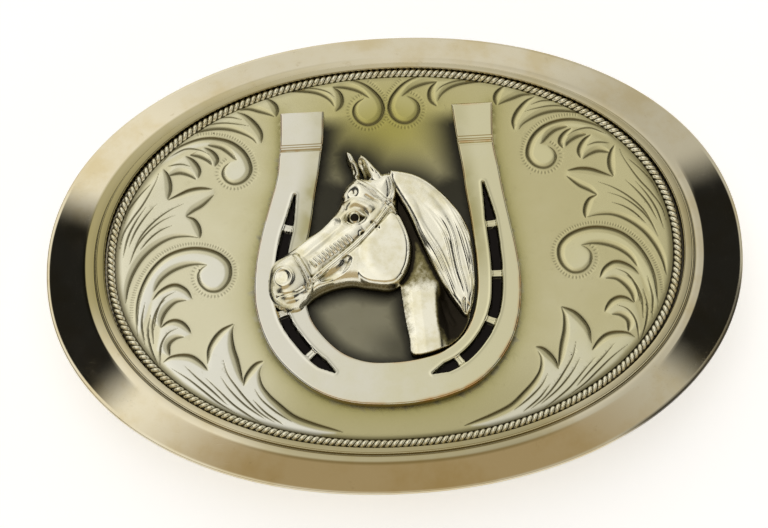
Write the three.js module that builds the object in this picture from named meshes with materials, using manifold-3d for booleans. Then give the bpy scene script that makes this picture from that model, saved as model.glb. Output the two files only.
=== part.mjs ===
// Western trophy belt buckle: an oval struck base with a bevelled bright rim, an engraved face plate
// inside a twisted-wire edge, a horseshoe and a horse's head mounted on the face, and on the back a
// hinged belt loop (the bail) and a fixed belt hook. Millimetres, +Z out of the buckle's front, +Y up
// as it is worn. The origin is on the surface that the buckle lies on, under the middle of the oval.
import * as THREE from "three";
import { mergeVertices } from "three/addons/utils/BufferGeometryUtils.js";
import Module from "manifold-3d";

// ---- Driving dimensions ----
const LENGTH = 95; // over the rim, along X
const WIDTH = 66; // over the rim, along Y
const SQUARENESS = 2.1; // the oval's exponent: 2 is a plain ellipse
const BACK_Z = 7; // the back face's height: how far the hook, the ears and the bail stand off it
const RUN = 0.05; // gap round a shank or a staked post in its hole
const OVAL_STEPS = 96;

const RIM = {
  edge: 0.8, // height of the rim's outer edge
  bandTop: 2.75, // height where the bevelled band meets the bead
  band: 0.864, // the same place, as a share of the outer oval
  beadOuter: 0.853,
  beadCrest: 0.839,
  wall: 0.828, // the bead's inner wall, down to the recess
  crestZ: 3.45,
  floorZ: 1.9, // the recess that the face plate lies in
  pocket: 0.868, // the pocket in the back, for the back plate
  pocketDepth: 0.95,
};
const BACK_PLATE = { share: 0.866, thickness: 0.95 };
const FACE = { halfLength: 37.8, halfWidth: 26.05, thickness: 1.1, edgeDrop: 0.3, edgeBand: 0.93 };
const ROPE = { halfLength: 38.35, halfWidth: 26.6, radius: 0.5 };
const FACE_TOP = BACK_Z + RIM.floorZ + FACE.thickness;

const SHOE = {
  thickness: 1.6,
  heelRise: 0.45,
  heelFrom: 15.3, // the heel blocks start here and run to the arms' ends
  fullerDepth: 0.9,
  lean: THREE.MathUtils.degToRad(-1.4), // it was mounted a little askew
  shiftX: -0.5,
  shiftY: 0.3,
};
const SHOE_TOP = FACE_TOP + SHOE.thickness;

const BAIL = {
  wire: 1.25, // radius
  pivotX: 27,
  pivotZ: BACK_Z - 4.4,
  reach: 14, // from the pivot to the middle of the outer bar, folded in under the buckle
  halfSpan: 21.6, // from the middle to the middle of a leg
  cornerR: 2.4,
  pinEnd: 17.6, // where the inturned ends stop, inside the ears
};
const BRACKET = { thickness: 0.9, padHalfX: 3.6, earOuterY: 19.3, earR: 2.6, holeR: BAIL.wire + 0.1 };
const RIVET = { shankR: 1, headR: 1.9, headH: 0.75, sunkR: 1.7, y: 9 };
const HOOK = { x: -33, padHalfX: 6.5, padHalfY: 4.6, padT: 0.9, postR: 2, tipR: 0.9, shoulderR: 2.7,
  shoulderH: 0.8, lean: Math.tan(THREE.MathUtils.degToRad(16)), footR: 1.6, sunkR: 2.3 };
const POST = { r: 0.8, staked: 1.25 }; // the cast-on posts that hold the horseshoe and the head

// ---- Materials ----
const metal = (color, roughness) =>
  new THREE.MeshStandardMaterial({ color, roughness, metalness: 1 });
const BRIGHT = metal(0xd8d0b8, 0.12);
const SATIN = metal(0xc2bb93, 0.38);
const ROPED = metal(0xcfc39f, 0.25);
const SHOE_METAL = metal(0xc4c4ba, 0.16);
const HORSE_METAL = metal(0xd6ccb0, 0.2);
const BACK_METAL = metal(0xb9ae8c, 0.4);
const STEEL = metal(0xb4b4b0, 0.25);

// ---- Solids, joins and cuts ----
const wasm = await Module();
wasm.setup();

function solid(geometry) {
  const plain = geometry.clone();
  plain.deleteAttribute("normal");
  plain.deleteAttribute("uv");
  const merged = mergeVertices(plain, 1e-3);
  return new wasm.Manifold(
    new wasm.Mesh({
      numProp: 3,
      vertProperties: merged.attributes.position.array,
      triVerts: new Uint32Array(merged.index.array),
    }),
  );
}

function geometryOf(manifold) {
  const made = manifold.getMesh();
  const geometry = new THREE.BufferGeometry();
  geometry.setAttribute("position", new THREE.BufferAttribute(made.vertProperties, made.numProp));
  geometry.setIndex(new THREE.BufferAttribute(made.triVerts, 1));
  return geometry;
}

const joined = (first, ...rest) => rest.reduce((all, next) => all.add(next), first);
const cut = (first, ...rest) => rest.reduce((all, next) => all.subtract(next), first);

// A point of the oval with these half axes, at angle t.
function ovalPoint(halfLength, halfWidth, t) {
  const c = Math.cos(t);
  const s = Math.sin(t);
  const r = (Math.abs(c) ** SQUARENESS + Math.abs(s) ** SQUARENESS) ** (-1 / SQUARENESS);
  return new THREE.Vector2(halfLength * r * c, halfWidth * r * s);
}

// A turned shape stretched to the oval. The profile holds [share of the half axes, z] from the axis,
// up the inside and back to the axis, so it runs from the bottom to the top.
function ovalTurned(profile, halfLength, halfWidth) {
  const points = profile.map(([share, z]) => new THREE.Vector2(share, z));
  const geometry = new THREE.LatheGeometry(points, OVAL_STEPS);
  const place = geometry.getAttribute("position");
  for (let i = 0; i < place.count; i++) {
    const share = Math.hypot(place.getX(i), place.getZ(i));
    const p = ovalPoint(halfLength, halfWidth, Math.atan2(-place.getZ(i), place.getX(i)));
    place.setXYZ(i, p.x * share, p.y * share, place.getY(i));
  }
  return geometry;
}

// A turned pin about the line x, y. The profile holds [radius, z], from the bottom to the top.
function turned(profile, x, y, steps = 20) {
  const points = profile.map(([r, z]) => new THREE.Vector2(r, z));
  return new THREE.LatheGeometry(points, steps).rotateX(Math.PI / 2).translate(x, y, 0);
}

const drill = (x, y, r, low, high) =>
  solid(turned([[0, low], [r, low], [r, high], [0, high]], x, y, 24));

// A closed outline through hand-placed corners, as a smooth curve.
function smoothShape(corners, steps) {
  const curve = new THREE.CatmullRomCurve3(
    corners.map(([x, y]) => new THREE.Vector3(x, y, 0)), true, "centripetal");
  return new THREE.Shape(curve.getSpacedPoints(steps).slice(0, -1).map((p) => new THREE.Vector2(p.x, p.y)));
}

// A slab with a rounded upper edge and a flat underside.
function crowned(shape, low, high, round) {
  const geometry = new THREE.ExtrudeGeometry(shape, {
    depth: high - low - round + 1, bevelEnabled: true, bevelThickness: round, bevelSize: round,
    bevelOffset: -round, bevelSegments: 3, curveSegments: 6,
  }).translate(0, 0, low - 1);
  const below = new THREE.BoxGeometry(200, 200, 10).translate(0, 0, low - 5);
  return solid(geometry).subtract(solid(below));
}

function straight(shape, low, high) {
  const geometry = new THREE.ExtrudeGeometry(shape, { depth: high - low, bevelEnabled: false });
  return geometry.translate(0, 0, low);
}

// ---- The struck base and its plates ----
function rimBase() {
  const z = (height) => BACK_Z + height;
  return ovalTurned([
    [0, z(RIM.pocketDepth)],
    [RIM.pocket, z(RIM.pocketDepth)],
    [RIM.pocket, z(0)],
    [0.997, z(0)],
    [1, z(0.15)],
    [1, z(RIM.edge - 0.1)],
    [0.996, z(RIM.edge + 0.06)],
    [0.93, z(1.73)],
    [0.885, z(2.4)],
    [RIM.band, z(RIM.bandTop)],
    [RIM.beadOuter, z(RIM.bandTop + 0.4)],
    [RIM.beadCrest + 0.007, z(RIM.crestZ - 0.05)],
    [RIM.beadCrest - 0.002, z(RIM.crestZ)],
    [RIM.wall, z(RIM.crestZ - 0.25)],
    [RIM.wall, z(RIM.floorZ)],
    [0, z(RIM.floorZ)],
  ], LENGTH / 2, WIDTH / 2);
}

const rivetPlaces = [-RIVET.y, RIVET.y].map((y) => ({ x: BAIL.pivotX, y }));

// A hole with a countersink at the plate's inner face, where a rivet or a post is spread flush.
function sunkHole(x, y, r, sunkR, inner, outer) {
  const deep = (inner - outer) * 0.5;
  return solid(turned(inner > outer
    ? [[0, outer - 1], [r, outer - 1], [r, inner - deep], [sunkR, inner], [sunkR, inner + 1], [0, inner + 1]]
    : [[0, inner - 1], [sunkR, inner - 1], [sunkR, inner], [r, inner - deep], [r, outer + 1], [0, outer + 1]],
  x, y, 24));
}

function backPlate() {
  const top = BACK_Z + BACK_PLATE.thickness;
  const plate = solid(ovalTurned(
    [[0, BACK_Z], [BACK_PLATE.share, BACK_Z], [BACK_PLATE.share, top], [0, top]], LENGTH / 2, WIDTH / 2));
  const holes = rivetPlaces.map((p) =>
    sunkHole(p.x, p.y, RIVET.shankR + RUN, RIVET.sunkR + RUN, top, BACK_Z));
  holes.push(sunkHole(HOOK.x, 0, HOOK.footR + RUN, HOOK.sunkR + RUN, top, BACK_Z));
  return geometryOf(cut(plate, ...holes));
}

// Where the horseshoe's and the head's cast-on posts go through the face plate.
const shoePosts = [[-11.8, 12.5], [11.6, 12.5], [-0.9, -19]];
const headPosts = [[-1.5, 0], [6, -9]];

function facePlate() {
  const low = BACK_Z + RIM.floorZ;
  const plate = solid(ovalTurned([
    [0, low], [1, low], [1, FACE_TOP - FACE.edgeDrop], [0.985, FACE_TOP - FACE.edgeDrop / 2],
    [FACE.edgeBand, FACE_TOP], [0, FACE_TOP],
  ], FACE.halfLength, FACE.halfWidth));
  const holes = [...shoePosts, ...headPosts].map(([x, y]) =>
    sunkHole(x, y, POST.r + RUN, POST.staked + RUN, low, FACE_TOP));
  return geometryOf(cut(plate, ...holes));
}

// A post cast on an applique, through the face plate and staked flush under it.
function post([x, y]) {
  const low = BACK_Z + RIM.floorZ;
  const waist = low + FACE.thickness / 2;
  const top = FACE_TOP + 0.5;
  return solid(turned([[0, low], [POST.staked, low], [POST.r, waist], [POST.r, top], [0, top]], x, y));
}

function ropeEdge() {
  const sides = 8;
  const centreZ = BACK_Z + RIM.floorZ + ROPE.radius;
  const positions = [];
  const faces = [];
  for (let i = 0; i < OVAL_STEPS; i++) {
    const t = (i / OVAL_STEPS) * 2 * Math.PI;
    const p = ovalPoint(ROPE.halfLength, ROPE.halfWidth, t);
    const ahead = ovalPoint(ROPE.halfLength, ROPE.halfWidth, t + 1e-3).sub(p).normalize();
    for (let j = 0; j < sides; j++) {
      const turn = (j / sides) * 2 * Math.PI;
      const out = ROPE.radius * Math.cos(turn);
      positions.push(p.x + ahead.y * out, p.y - ahead.x * out, centreZ + ROPE.radius * Math.sin(turn));
      const a = i * sides + j;
      const b = i * sides + ((j + 1) % sides);
      const c = ((i + 1) % OVAL_STEPS) * sides + j;
      const d = ((i + 1) % OVAL_STEPS) * sides + ((j + 1) % sides);
      faces.push(a, c, b, b, c, d);
    }
  }
  const geometry = new THREE.BufferGeometry();
  geometry.setAttribute("position", new THREE.Float32BufferAttribute(positions, 3));
  geometry.setIndex(faces);
  return geometry;
}

// ---- The horseshoe ----
// Half of the shoe's outer and inner edges, from the heel round to the toe, before it is leant over.
const SHOE_OUTER = [[14.6, 20.4], [14.8, 15], [15.5, 10], [16.9, 3.5], [17.9, -2], [18, -6.5], [17, -11.5],
  [14.6, -16], [10.8, -19.5], [5.8, -21.6], [0, -22.1]];
const SHOE_INNER = [[8.8, 20.4], [9.2, 15], [9.9, 10], [10.9, 4], [11.4, -2], [11.4, -6], [10.5, -10.2],
  [8.3, -13.3], [4.8, -15.5], [0, -16.2]];

const leant = ([x, y]) => {
  const p = new THREE.Vector2(x, y).rotateAround(new THREE.Vector2(), SHOE.lean);
  return [p.x + SHOE.shiftX, p.y + SHOE.shiftY];
};

// A smooth open curve through corners, mirrored so that it runs from the right heel to the left one.
function archedEdge(half, steps) {
  const right = half.map(([x, y]) => new THREE.Vector3(x, y, 0));
  const left = half.slice(0, -1).reverse().map(([x, y]) => new THREE.Vector3(-x, y, 0));
  const curve = new THREE.CatmullRomCurve3([...right, ...left], false, "centripetal");
  return curve.getSpacedPoints(steps).map((p) => leant([p.x, p.y]));
}

function shoeShape(grow = 0) {
  const spread = (half, by) => half.map(([x, y]) => [x + by * Math.min(1, x / 6), y - by * (y < 0 ? 1 : 0)]);
  const outer = archedEdge(spread(SHOE_OUTER, grow), 64);
  const inner = archedEdge(spread(SHOE_INNER, -grow), 56);
  return new THREE.Shape([...outer, ...inner.reverse()].map(([x, y]) => new THREE.Vector2(x, y)));
}

// The fuller, the groove for the nails, along each branch from its heel end, and the nails' places
// as shares of its length. The muzzle covers part of the left one.
const FULLERS = [
  { line: [[12.6, 8.9], [13.2, 4], [13.7, -1], [13.8, -5.5], [12.9, -10.5], [10.6, -14.3], [7.6, -16.8],
    [4.2, -18]], nails: [0.19, 0.43, 0.66, 0.86] },
  { line: [[-13.1, 8.5], [-14.3, 4], [-15.4, -0.5], [-15.8, -5], [-15.2, -9.3], [-13.4, -12.7],
    [-11.2, -15.3], [-8.9, -17]], nails: [0.19, 0.41, 0.64, 0.86] },
];
const NAIL_HALF = 0.022; // half of a nail head's length, as a share of the fuller's
const FULLER_HALF_WIDTH = 0.78;

function fullerCuts({ line, nails }) {
  const curve = new THREE.CatmullRomCurve3(line.map(([x, y]) => new THREE.Vector3(x, y + SHOE.shiftY, 0)));
  const halfWidth = (u) => FULLER_HALF_WIDTH * Math.min(1, 0.2 + 2.6 * u, 0.25 + 5 * (1 - u));
  const starts = [0, ...nails.map((u) => u + NAIL_HALF)];
  const ends = [...nails.map((u) => u - NAIL_HALF), 1];
  return starts.map((start, i) => {
    const left = [];
    const right = [];
    for (let k = 0; k <= 6; k++) {
      const u = start + ((ends[i] - start) * k) / 6;
      const p = curve.getPointAt(u);
      const along = curve.getTangentAt(u);
      const w = halfWidth(u);
      left.push(new THREE.Vector2(p.x - along.y * w, p.y + along.x * w));
      right.unshift(new THREE.Vector2(p.x + along.y * w, p.y - along.x * w));
    }
    return solid(straight(new THREE.Shape([...left, ...right]), SHOE_TOP - SHOE.fullerDepth, SHOE_TOP + 1));
  });
}

function heelBlock(side) {
  const corners = [[8.8, 20.4], [14.6, 20.4], [14.85, SHOE.heelFrom], [9.2, SHOE.heelFrom]]
    .map(([x, y]) => leant([x * side, y]))
    .map(([x, y]) => new THREE.Vector2(x, y));
  if (side < 0) corners.reverse();
  return crowned(new THREE.Shape(corners.reverse()), SHOE_TOP - 0.8, SHOE_TOP + SHOE.heelRise, 0.2);
}

function horseshoe() {
  const body = crowned(shoeShape(), FACE_TOP, SHOE_TOP, 0.3);
  const shoe = joined(cut(body, ...FULLERS.flatMap(fullerCuts)), heelBlock(1), heelBlock(-1));
  return geometryOf(joined(shoe, ...shoePosts.map(post)));
}

// ---- The horse's head ----
const HEAD = [[-4.9, 10.3], [-6.4, 9], [-7.6, 6.7], [-9.6, 4.2], [-12, 2.2], [-14.2, 0.7], [-16.2, -0.9],
  [-17.1, -2.8], [-17.2, -4.8], [-16.5, -6.8], [-14.9, -8], [-13.2, -7.9], [-11.6, -6.9], [-9.6, -5.6],
  [-7.4, -4.9], [-5.6, -4.9], [-3.6, -5.3], [-1, -5.4], [0.9, -4.4], [1.9, -2.2], [2.1, 0.4], [1.5, 3],
  [0.2, 6], [-0.6, 8.6], [-1.2, 10.6], [-3, 10.6]];
const NECK = [[-1.5, 10.5], [1.5, 10.9], [5.5, 7.5], [7, 2], [8.5, -4], [9.6, -9.2], [8.4, -11.6], [6, -13.6],
  [3.6, -14.6], [2, -14.9], [1.5, -12], [1.2, -9], [1, -5], [-1.5, 0]];
const MANE = [[-0.4, 11], [0.8, 11.2], [2.6, 10.6], [4.6, 9.4], [6.4, 7.6], [8.2, 5.2], [9.6, 2], [10, -1.5],
  [10.1, -5], [9.6, -9.2], [8.3, -7.6], [6.8, -5.4], [5.4, -2.8], [4.4, 0.4], [3.2, 4], [1.6, 7.2], [0.2, 8.4]];
const NEAR_EAR = [[-4.05, 14], [-3, 13], [-1.9, 12], [-0.8, 11], [-0.6, 9.6], [-1.6, 9], [-3, 9.6],
  [-3.3, 11], [-4.2, 12.8]];
const FAR_EAR = [[-5.8, 14.6], [-5, 14.5], [-4.6, 13.6], [-4.2, 12.6], [-4, 10.4], [-4.9, 10], [-5.2, 12],
  [-5.7, 13.4]];
const CHEEK = { x: -1.6, y: -1.3, r: 3.5 };
const MUZZLE = { x: -14.6, y: -4.2, r: 2.7 };
const HEAD_HEIGHTS = { neck: 1.9, mane: 2.8, face: 3.2, ears: 2.8, cheek: 4.2, muzzle: 3.7 };

function horseHead() {
  const layer = (corners, height, round = 0.8, low = FACE_TOP) =>
    crowned(smoothShape(corners, 48), low, FACE_TOP + height, round);
  const boss = ({ x, y, r }, height) =>
    solid(turned([[0, FACE_TOP + 2], [r, FACE_TOP + 2], [r, FACE_TOP + height - 1],
      [r * 0.7, FACE_TOP + height - 0.25], [0, FACE_TOP + height]], x, y, 24));
  const made = joined(
    layer(NECK, HEAD_HEIGHTS.neck),
    layer(MANE, HEAD_HEIGHTS.mane, 0.3),
    layer(HEAD, HEAD_HEIGHTS.face, 1.2),
    layer(NEAR_EAR, HEAD_HEIGHTS.ears, 0.15),
    layer(FAR_EAR, HEAD_HEIGHTS.ears - 0.5, 0.15),
    boss(CHEEK, HEAD_HEIGHTS.cheek),
    boss(MUZZLE, HEAD_HEIGHTS.muzzle),
  );
  const shoeRoom = solid(straight(shoeShape(RUN), FACE_TOP - 1, SHOE_TOP + RUN));
  return geometryOf(joined(cut(made, shoeRoom), ...headPosts.map(post)));
}

// ---- The back: bail, bracket, rivets and hook ----
// The bail's wire, flat at its own pivot: in from one side, round the loop and in from the other.
function bailWire() {
  const { reach, halfSpan, pinEnd, cornerR } = BAIL;
  const corners = [[0, pinEnd], [0, halfSpan], [-reach, halfSpan], [-reach, -halfSpan], [0, -halfSpan],
    [0, -pinEnd]].map(([x, y]) => new THREE.Vector3(x, y, 0));
  const path = new THREE.CurvePath();
  let from = corners[0];
  for (let i = 1; i < corners.length - 1; i++) {
    const before = corners[i].clone().lerp(corners[i - 1], cornerR / corners[i].distanceTo(corners[i - 1]));
    const after = corners[i].clone().lerp(corners[i + 1], cornerR / corners[i].distanceTo(corners[i + 1]));
    path.add(new THREE.LineCurve3(from, before));
    path.add(new THREE.QuadraticBezierCurve3(before, corners[i], after));
    from = after;
  }
  path.add(new THREE.LineCurve3(from, corners.at(-1)));
  const section = new THREE.Shape(new THREE.Path().absarc(0, 0, BAIL.wire, 0, 2 * Math.PI).getPoints(12).slice(0, 12));
  return new THREE.ExtrudeGeometry(section, { steps: 130, extrudePath: path });
}

// How far the bail droops from level, until its outer bar lies on what the ears stand on.
const BAIL_DROOP = Math.asin((BAIL.pivotZ - BAIL.wire) / BAIL.reach);

function bracket() {
  const { thickness, padHalfX, earOuterY, earR, holeR } = BRACKET;
  const pad = new THREE.BoxGeometry(2 * padHalfX, 2 * earOuterY, thickness)
    .translate(BAIL.pivotX, 0, BACK_Z - thickness / 2);
  const ears = [earOuterY, -earOuterY + thickness].map((y) => {
    // Drawn in x and z, then stood up: the ear's root is on the pad and its round end is at the pivot.
    const drop = BACK_Z - BAIL.pivotZ;
    const outline = new THREE.Shape();
    outline.moveTo(-padHalfX, 0);
    outline.lineTo(-earR, -drop);
    outline.absarc(0, -drop, earR, Math.PI, 2 * Math.PI, false);
    outline.lineTo(padHalfX, 0);
    outline.holes.push(new THREE.Path().absarc(0, -drop, holeR, 0, 2 * Math.PI, true));
    const ear = new THREE.ExtrudeGeometry(outline, { depth: thickness, bevelEnabled: false, curveSegments: 12 });
    return solid(ear.rotateX(Math.PI / 2).translate(BAIL.pivotX, y, BACK_Z));
  });
  const holes = rivetPlaces.map((p) => drill(p.x, p.y, RIVET.shankR + RUN, BACK_Z - 2, BACK_Z + 1));
  return geometryOf(cut(joined(solid(pad), ...ears), ...holes));
}

// A rivet with its round head under the bracket's pad and its shank spread flush in the back plate.
function rivet({ x, y }) {
  const head = BACK_Z - BRACKET.thickness;
  const inside = BACK_Z + BACK_PLATE.thickness;
  return turned([
    [0, head - RIVET.headH], [RIVET.headR * 0.6, head - RIVET.headH * 0.85],
    [RIVET.headR * 0.92, head - RIVET.headH * 0.4], [RIVET.headR, head], [RIVET.shankR, head],
    [RIVET.shankR, inside - BACK_PLATE.thickness / 2], [RIVET.sunkR, inside], [0, inside],
  ], x, y);
}

function hookPad() {
  const outline = new THREE.Shape();
  outline.absellipse(HOOK.x, 0, HOOK.padHalfX, HOOK.padHalfY, 0, 2 * Math.PI, false);
  const pad = new THREE.ExtrudeGeometry(outline, { depth: HOOK.padT, bevelEnabled: false, curveSegments: 16 });
  const hole = drill(HOOK.x, 0, HOOK.footR + RUN, BACK_Z - 3, BACK_Z + 1);
  return geometryOf(cut(solid(pad.translate(0, 0, BACK_Z - HOOK.padT)), hole));
}

// The hook leans outwards below its shoulder, and ends in a dome with a small flat.
function hookPost() {
  const seat = BACK_Z - HOOK.padT;
  const neck = seat - HOOK.shoulderH;
  const inside = BACK_Z + BACK_PLATE.thickness;
  const geometry = turned([
    [0, 0], [HOOK.tipR, 0], [HOOK.postR * 0.78, 0.35], [HOOK.postR * 0.97, 0.95], [HOOK.postR, 1.7],
    [HOOK.postR, neck - 0.3], [HOOK.shoulderR - 0.3, neck], [HOOK.shoulderR, neck + 0.3],
    [HOOK.shoulderR, seat], [HOOK.footR, seat], [HOOK.footR, inside - BACK_PLATE.thickness / 2],
    [HOOK.sunkR, inside], [0, inside],
  ], HOOK.x, 0, 24);
  const place = geometry.getAttribute("position");
  for (let i = 0; i < place.count; i++) {
    const below = Math.max(0, neck - place.getZ(i));
    place.setX(i, place.getX(i) - below * HOOK.lean);
  }
  return geometry;
}

// ---- The assembly ----
const buckle = new THREE.Group();

function piece(name, geometry, material) {
  const mesh = new THREE.Mesh(geometry, material);
  mesh.name = name;
  buckle.add(mesh);
  return mesh;
}

piece("rim_base", rimBase(), BRIGHT);
piece("back_plate", backPlate(), BACK_METAL);
piece("face_plate", facePlate(), SATIN);
piece("rope_edge", ropeEdge(), ROPED);
piece("horseshoe", horseshoe(), SHOE_METAL);
piece("horse_head", horseHead(), HORSE_METAL);
piece("bail_bracket", bracket(), BACK_METAL);
rivetPlaces.forEach((place, i) => piece(["bracket_rivet_lower", "bracket_rivet_upper"][i], rivet(place), STEEL));
piece("hook_pad", hookPad(), BACK_METAL);
piece("hook_post", hookPost(), STEEL);
const bail = piece("bail_loop", bailWire(), STEEL);
bail.position.set(BAIL.pivotX, 0, BAIL.pivotZ);
bail.rotation.y = -BAIL_DROOP;

export default buckle;
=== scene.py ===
"""The looks of an oval Western trophy belt buckle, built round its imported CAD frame.

Lengths in this file are millimetres in the frame's own axes: +X to the viewer's right, +Y up on the
buckle and +Z out of its front. They are turned into metres where a mesh is made.
"""
import math

import bpy
import numpy as np
from mathutils import Matrix


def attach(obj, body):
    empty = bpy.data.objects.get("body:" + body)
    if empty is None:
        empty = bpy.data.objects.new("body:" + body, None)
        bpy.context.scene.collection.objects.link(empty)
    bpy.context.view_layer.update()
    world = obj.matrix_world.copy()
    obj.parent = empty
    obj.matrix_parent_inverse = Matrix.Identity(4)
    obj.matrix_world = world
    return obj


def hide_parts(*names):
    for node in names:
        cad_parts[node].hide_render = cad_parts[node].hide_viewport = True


MM = 0.001

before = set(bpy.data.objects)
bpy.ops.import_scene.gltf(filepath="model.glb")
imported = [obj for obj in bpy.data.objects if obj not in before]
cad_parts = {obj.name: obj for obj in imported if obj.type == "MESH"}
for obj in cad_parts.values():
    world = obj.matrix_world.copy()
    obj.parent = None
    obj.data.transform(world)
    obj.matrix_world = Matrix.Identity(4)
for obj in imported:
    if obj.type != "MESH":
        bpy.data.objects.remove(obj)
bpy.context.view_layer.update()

# ---- Heights and sizes shared with the frame ----
BACK_Z = 7.0
FACE_TOP = 10.0
FACE_LOW = 8.92
SHOE_TOP = 11.6
SQUARENESS = 2.1
RIM_HALF = (47.5, 33.0)
FACE_HALF = (37.8, 26.05)
ROPE_HALF = (38.5, 26.72)


# ---- Curves ----
def smooth_line(points, closed=False, spacing=0.2):
    """A centripetal Catmull-Rom curve through the points, sampled about every spacing mm."""
    p = np.asarray(points, float)
    if closed:
        p = np.vstack([p[-1], p, p[0], p[1]])
    else:
        p = np.vstack([2 * p[0] - p[1], p, 2 * p[-1] - p[-2]])
    out = []
    for a, b, c, d in zip(p[:-3], p[1:-2], p[2:-1], p[3:]):
        ta, tb, tc = (max(np.linalg.norm(v), 1e-6) ** 0.5 for v in (b - a, c - b, d - c))
        t1, t2, t3 = ta, ta + tb, ta + tb + tc
        count = max(2, int(np.linalg.norm(c - b) / spacing) + 1)
        t = np.linspace(t1, t2, count, endpoint=False)[:, None]
        a1 = (t1 - t) / t1 * a + t / t1 * b
        a2 = (t2 - t) / (t2 - t1) * b + (t - t1) / (t2 - t1) * c
        a3 = (t3 - t) / (t3 - t2) * c + (t - t2) / (t3 - t2) * d
        b1 = (t2 - t) / t2 * a1 + t / t2 * a2
        b2 = (t3 - t) / (t3 - t1) * a2 + (t - t1) / (t3 - t1) * a3
        out.append((t2 - t) / (t2 - t1) * b1 + (t - t1) / (t2 - t1) * b2)
    if not closed:
        out.append(p[-2][None, :])
    return np.vstack(out)


def walk(line, pitch):
    """Points every pitch mm along a line, and the unit direction there."""
    step = np.linalg.norm(np.diff(line, axis=0), axis=1)
    length = np.concatenate([[0], np.cumsum(step)])
    at = np.arange(0, length[-1], pitch)
    place = np.stack([np.interp(at, length, line[:, k]) for k in range(line.shape[1])], 1)
    ahead = np.gradient(place, axis=0)
    return place, ahead / np.linalg.norm(ahead, axis=1)[:, None]


def oval(half, angle):
    """Points of the oval with these half axes at the given angles."""
    c, s = np.cos(angle), np.sin(angle)
    r = (np.abs(c) ** SQUARENESS + np.abs(s) ** SQUARENESS) ** (-1 / SQUARENESS)
    return np.stack([half[0] * r * c, half[1] * r * s], -1)


def oval_share(x, y, half):
    """How far out a point lies: 0 at the middle of the oval and 1 on its edge."""
    return ((np.abs(x) / half[0]) ** SQUARENESS + (np.abs(y) / half[1]) ** SQUARENESS) ** (1 / SQUARENESS)


def smoothstep(x, low, high):
    t = np.clip((x - low) / (high - low), 0, 1)
    return t * t * (3 - 2 * t)


def pillow(depth, width):
    """A quarter-round rise from an outline, over this width."""
    t = np.clip(depth / width, 0, 1)
    return np.sqrt(1 - (1 - t) ** 2)


# ---- Height fields ----
class Relief:
    """A height field over a rectangle that shapes are laid on and cut into."""

    def __init__(self, low, high, step):
        self.step = step
        self.x = np.arange(low[0], high[0] + step, step)
        self.y = np.arange(low[1], high[1] + step, step)
        self.X, self.Y = np.meshgrid(self.x, self.y)
        self.z = np.zeros_like(self.X)

    def window(self, points, margin):
        (x0, y0), (x1, y1) = points.min(0) - margin, points.max(0) + margin
        i0, i1 = np.searchsorted(self.x, (x0, x1))
        j0, j1 = np.searchsorted(self.y, (y0, y1))
        return np.s_[j0:j1, i0:i1]

    def near(self, line, margin):
        """The window round a line, with each place's distance to it and its share of the line's length."""
        whole = self.window(line, margin)
        j0, i0 = whole[0].start, whole[1].start
        shape = self.X[whole].shape
        best = np.full(shape, 1e9)
        share = np.zeros(shape)
        step = np.linalg.norm(np.diff(line, axis=0), axis=1)
        length = np.concatenate([[0], np.cumsum(step)])
        for k in range(len(line) - 1):
            a, b = line[k], line[k + 1]
            part = self.window(np.array([a, b]), margin)
            if part[0].stop <= part[0].start or part[1].stop <= part[1].start:
                continue
            px, py = self.X[part] - a[0], self.Y[part] - a[1]
            dx, dy = b - a
            square = max(dx * dx + dy * dy, 1e-12)
            t = np.clip((px * dx + py * dy) / square, 0, 1)
            d = np.hypot(px - t * dx, py - t * dy)
            local = np.s_[part[0].start - j0:part[0].stop - j0, part[1].start - i0:part[1].stop - i0]
            closer = d < best[local]
            best[local] = np.where(closer, d, best[local])
            share[local] = np.where(closer, (length[k] + t * step[k]) / length[-1], share[local])
        return whole, np.minimum(best, margin), share, length[-1]

    def distance(self, line, margin):
        """The distance to a line everywhere, no more than the margin."""
        far = np.full(self.X.shape, float(margin))
        where, d, _, _ = self.near(line, margin)
        far[where] = d
        return far

    def inside(self, outline):
        """Where a closed outline has its inside."""
        result = np.zeros(self.X.shape, bool)
        where = self.window(outline, self.step)
        x, y = self.X[where], self.Y[where]
        found = np.zeros(x.shape, bool)
        for (ax, ay), (bx, by) in zip(outline, np.roll(outline, -1, axis=0)):
            if ay == by:
                continue
            crosses = (ay > y) != (by > y)
            found ^= crosses & (x < (bx - ax) * (y - ay) / (by - ay) + ax)
        result[where] = found
        return result

    def signed(self, outline, margin):
        """The depth inside a closed outline, below zero outside it."""
        closed = np.vstack([outline, outline[:1]])
        d = self.distance(closed, margin)
        return np.where(self.inside(outline), d, -d)

    def blurred(self, values, radius):
        """The values smoothed by a bell of this radius in mm."""
        pad = int(3 * radius / self.step) + 2
        padded = np.pad(values, pad, mode="edge")
        fy = np.fft.fftfreq(padded.shape[0], self.step)[:, None]
        fx = np.fft.rfftfreq(padded.shape[1], self.step)[None, :]
        bell = np.exp(-2 * (math.pi * radius) ** 2 * (fx ** 2 + fy ** 2))
        out = np.fft.irfft2(np.fft.rfft2(padded) * bell, padded.shape)
        return out[pad:-pad, pad:-pad]

    def sample(self, values, x, y):
        """The values at any places, by bilinear interpolation."""
        i = np.clip((x - self.x[0]) / self.step, 0, len(self.x) - 1.001)
        j = np.clip((y - self.y[0]) / self.step, 0, len(self.y) - 1.001)
        i0, j0 = i.astype(int), j.astype(int)
        fi, fj = i - i0, j - j0
        return ((values[j0, i0] * (1 - fi) + values[j0, i0 + 1] * fi) * (1 - fj)
                + (values[j0 + 1, i0] * (1 - fi) + values[j0 + 1, i0 + 1] * fi) * fj)


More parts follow.
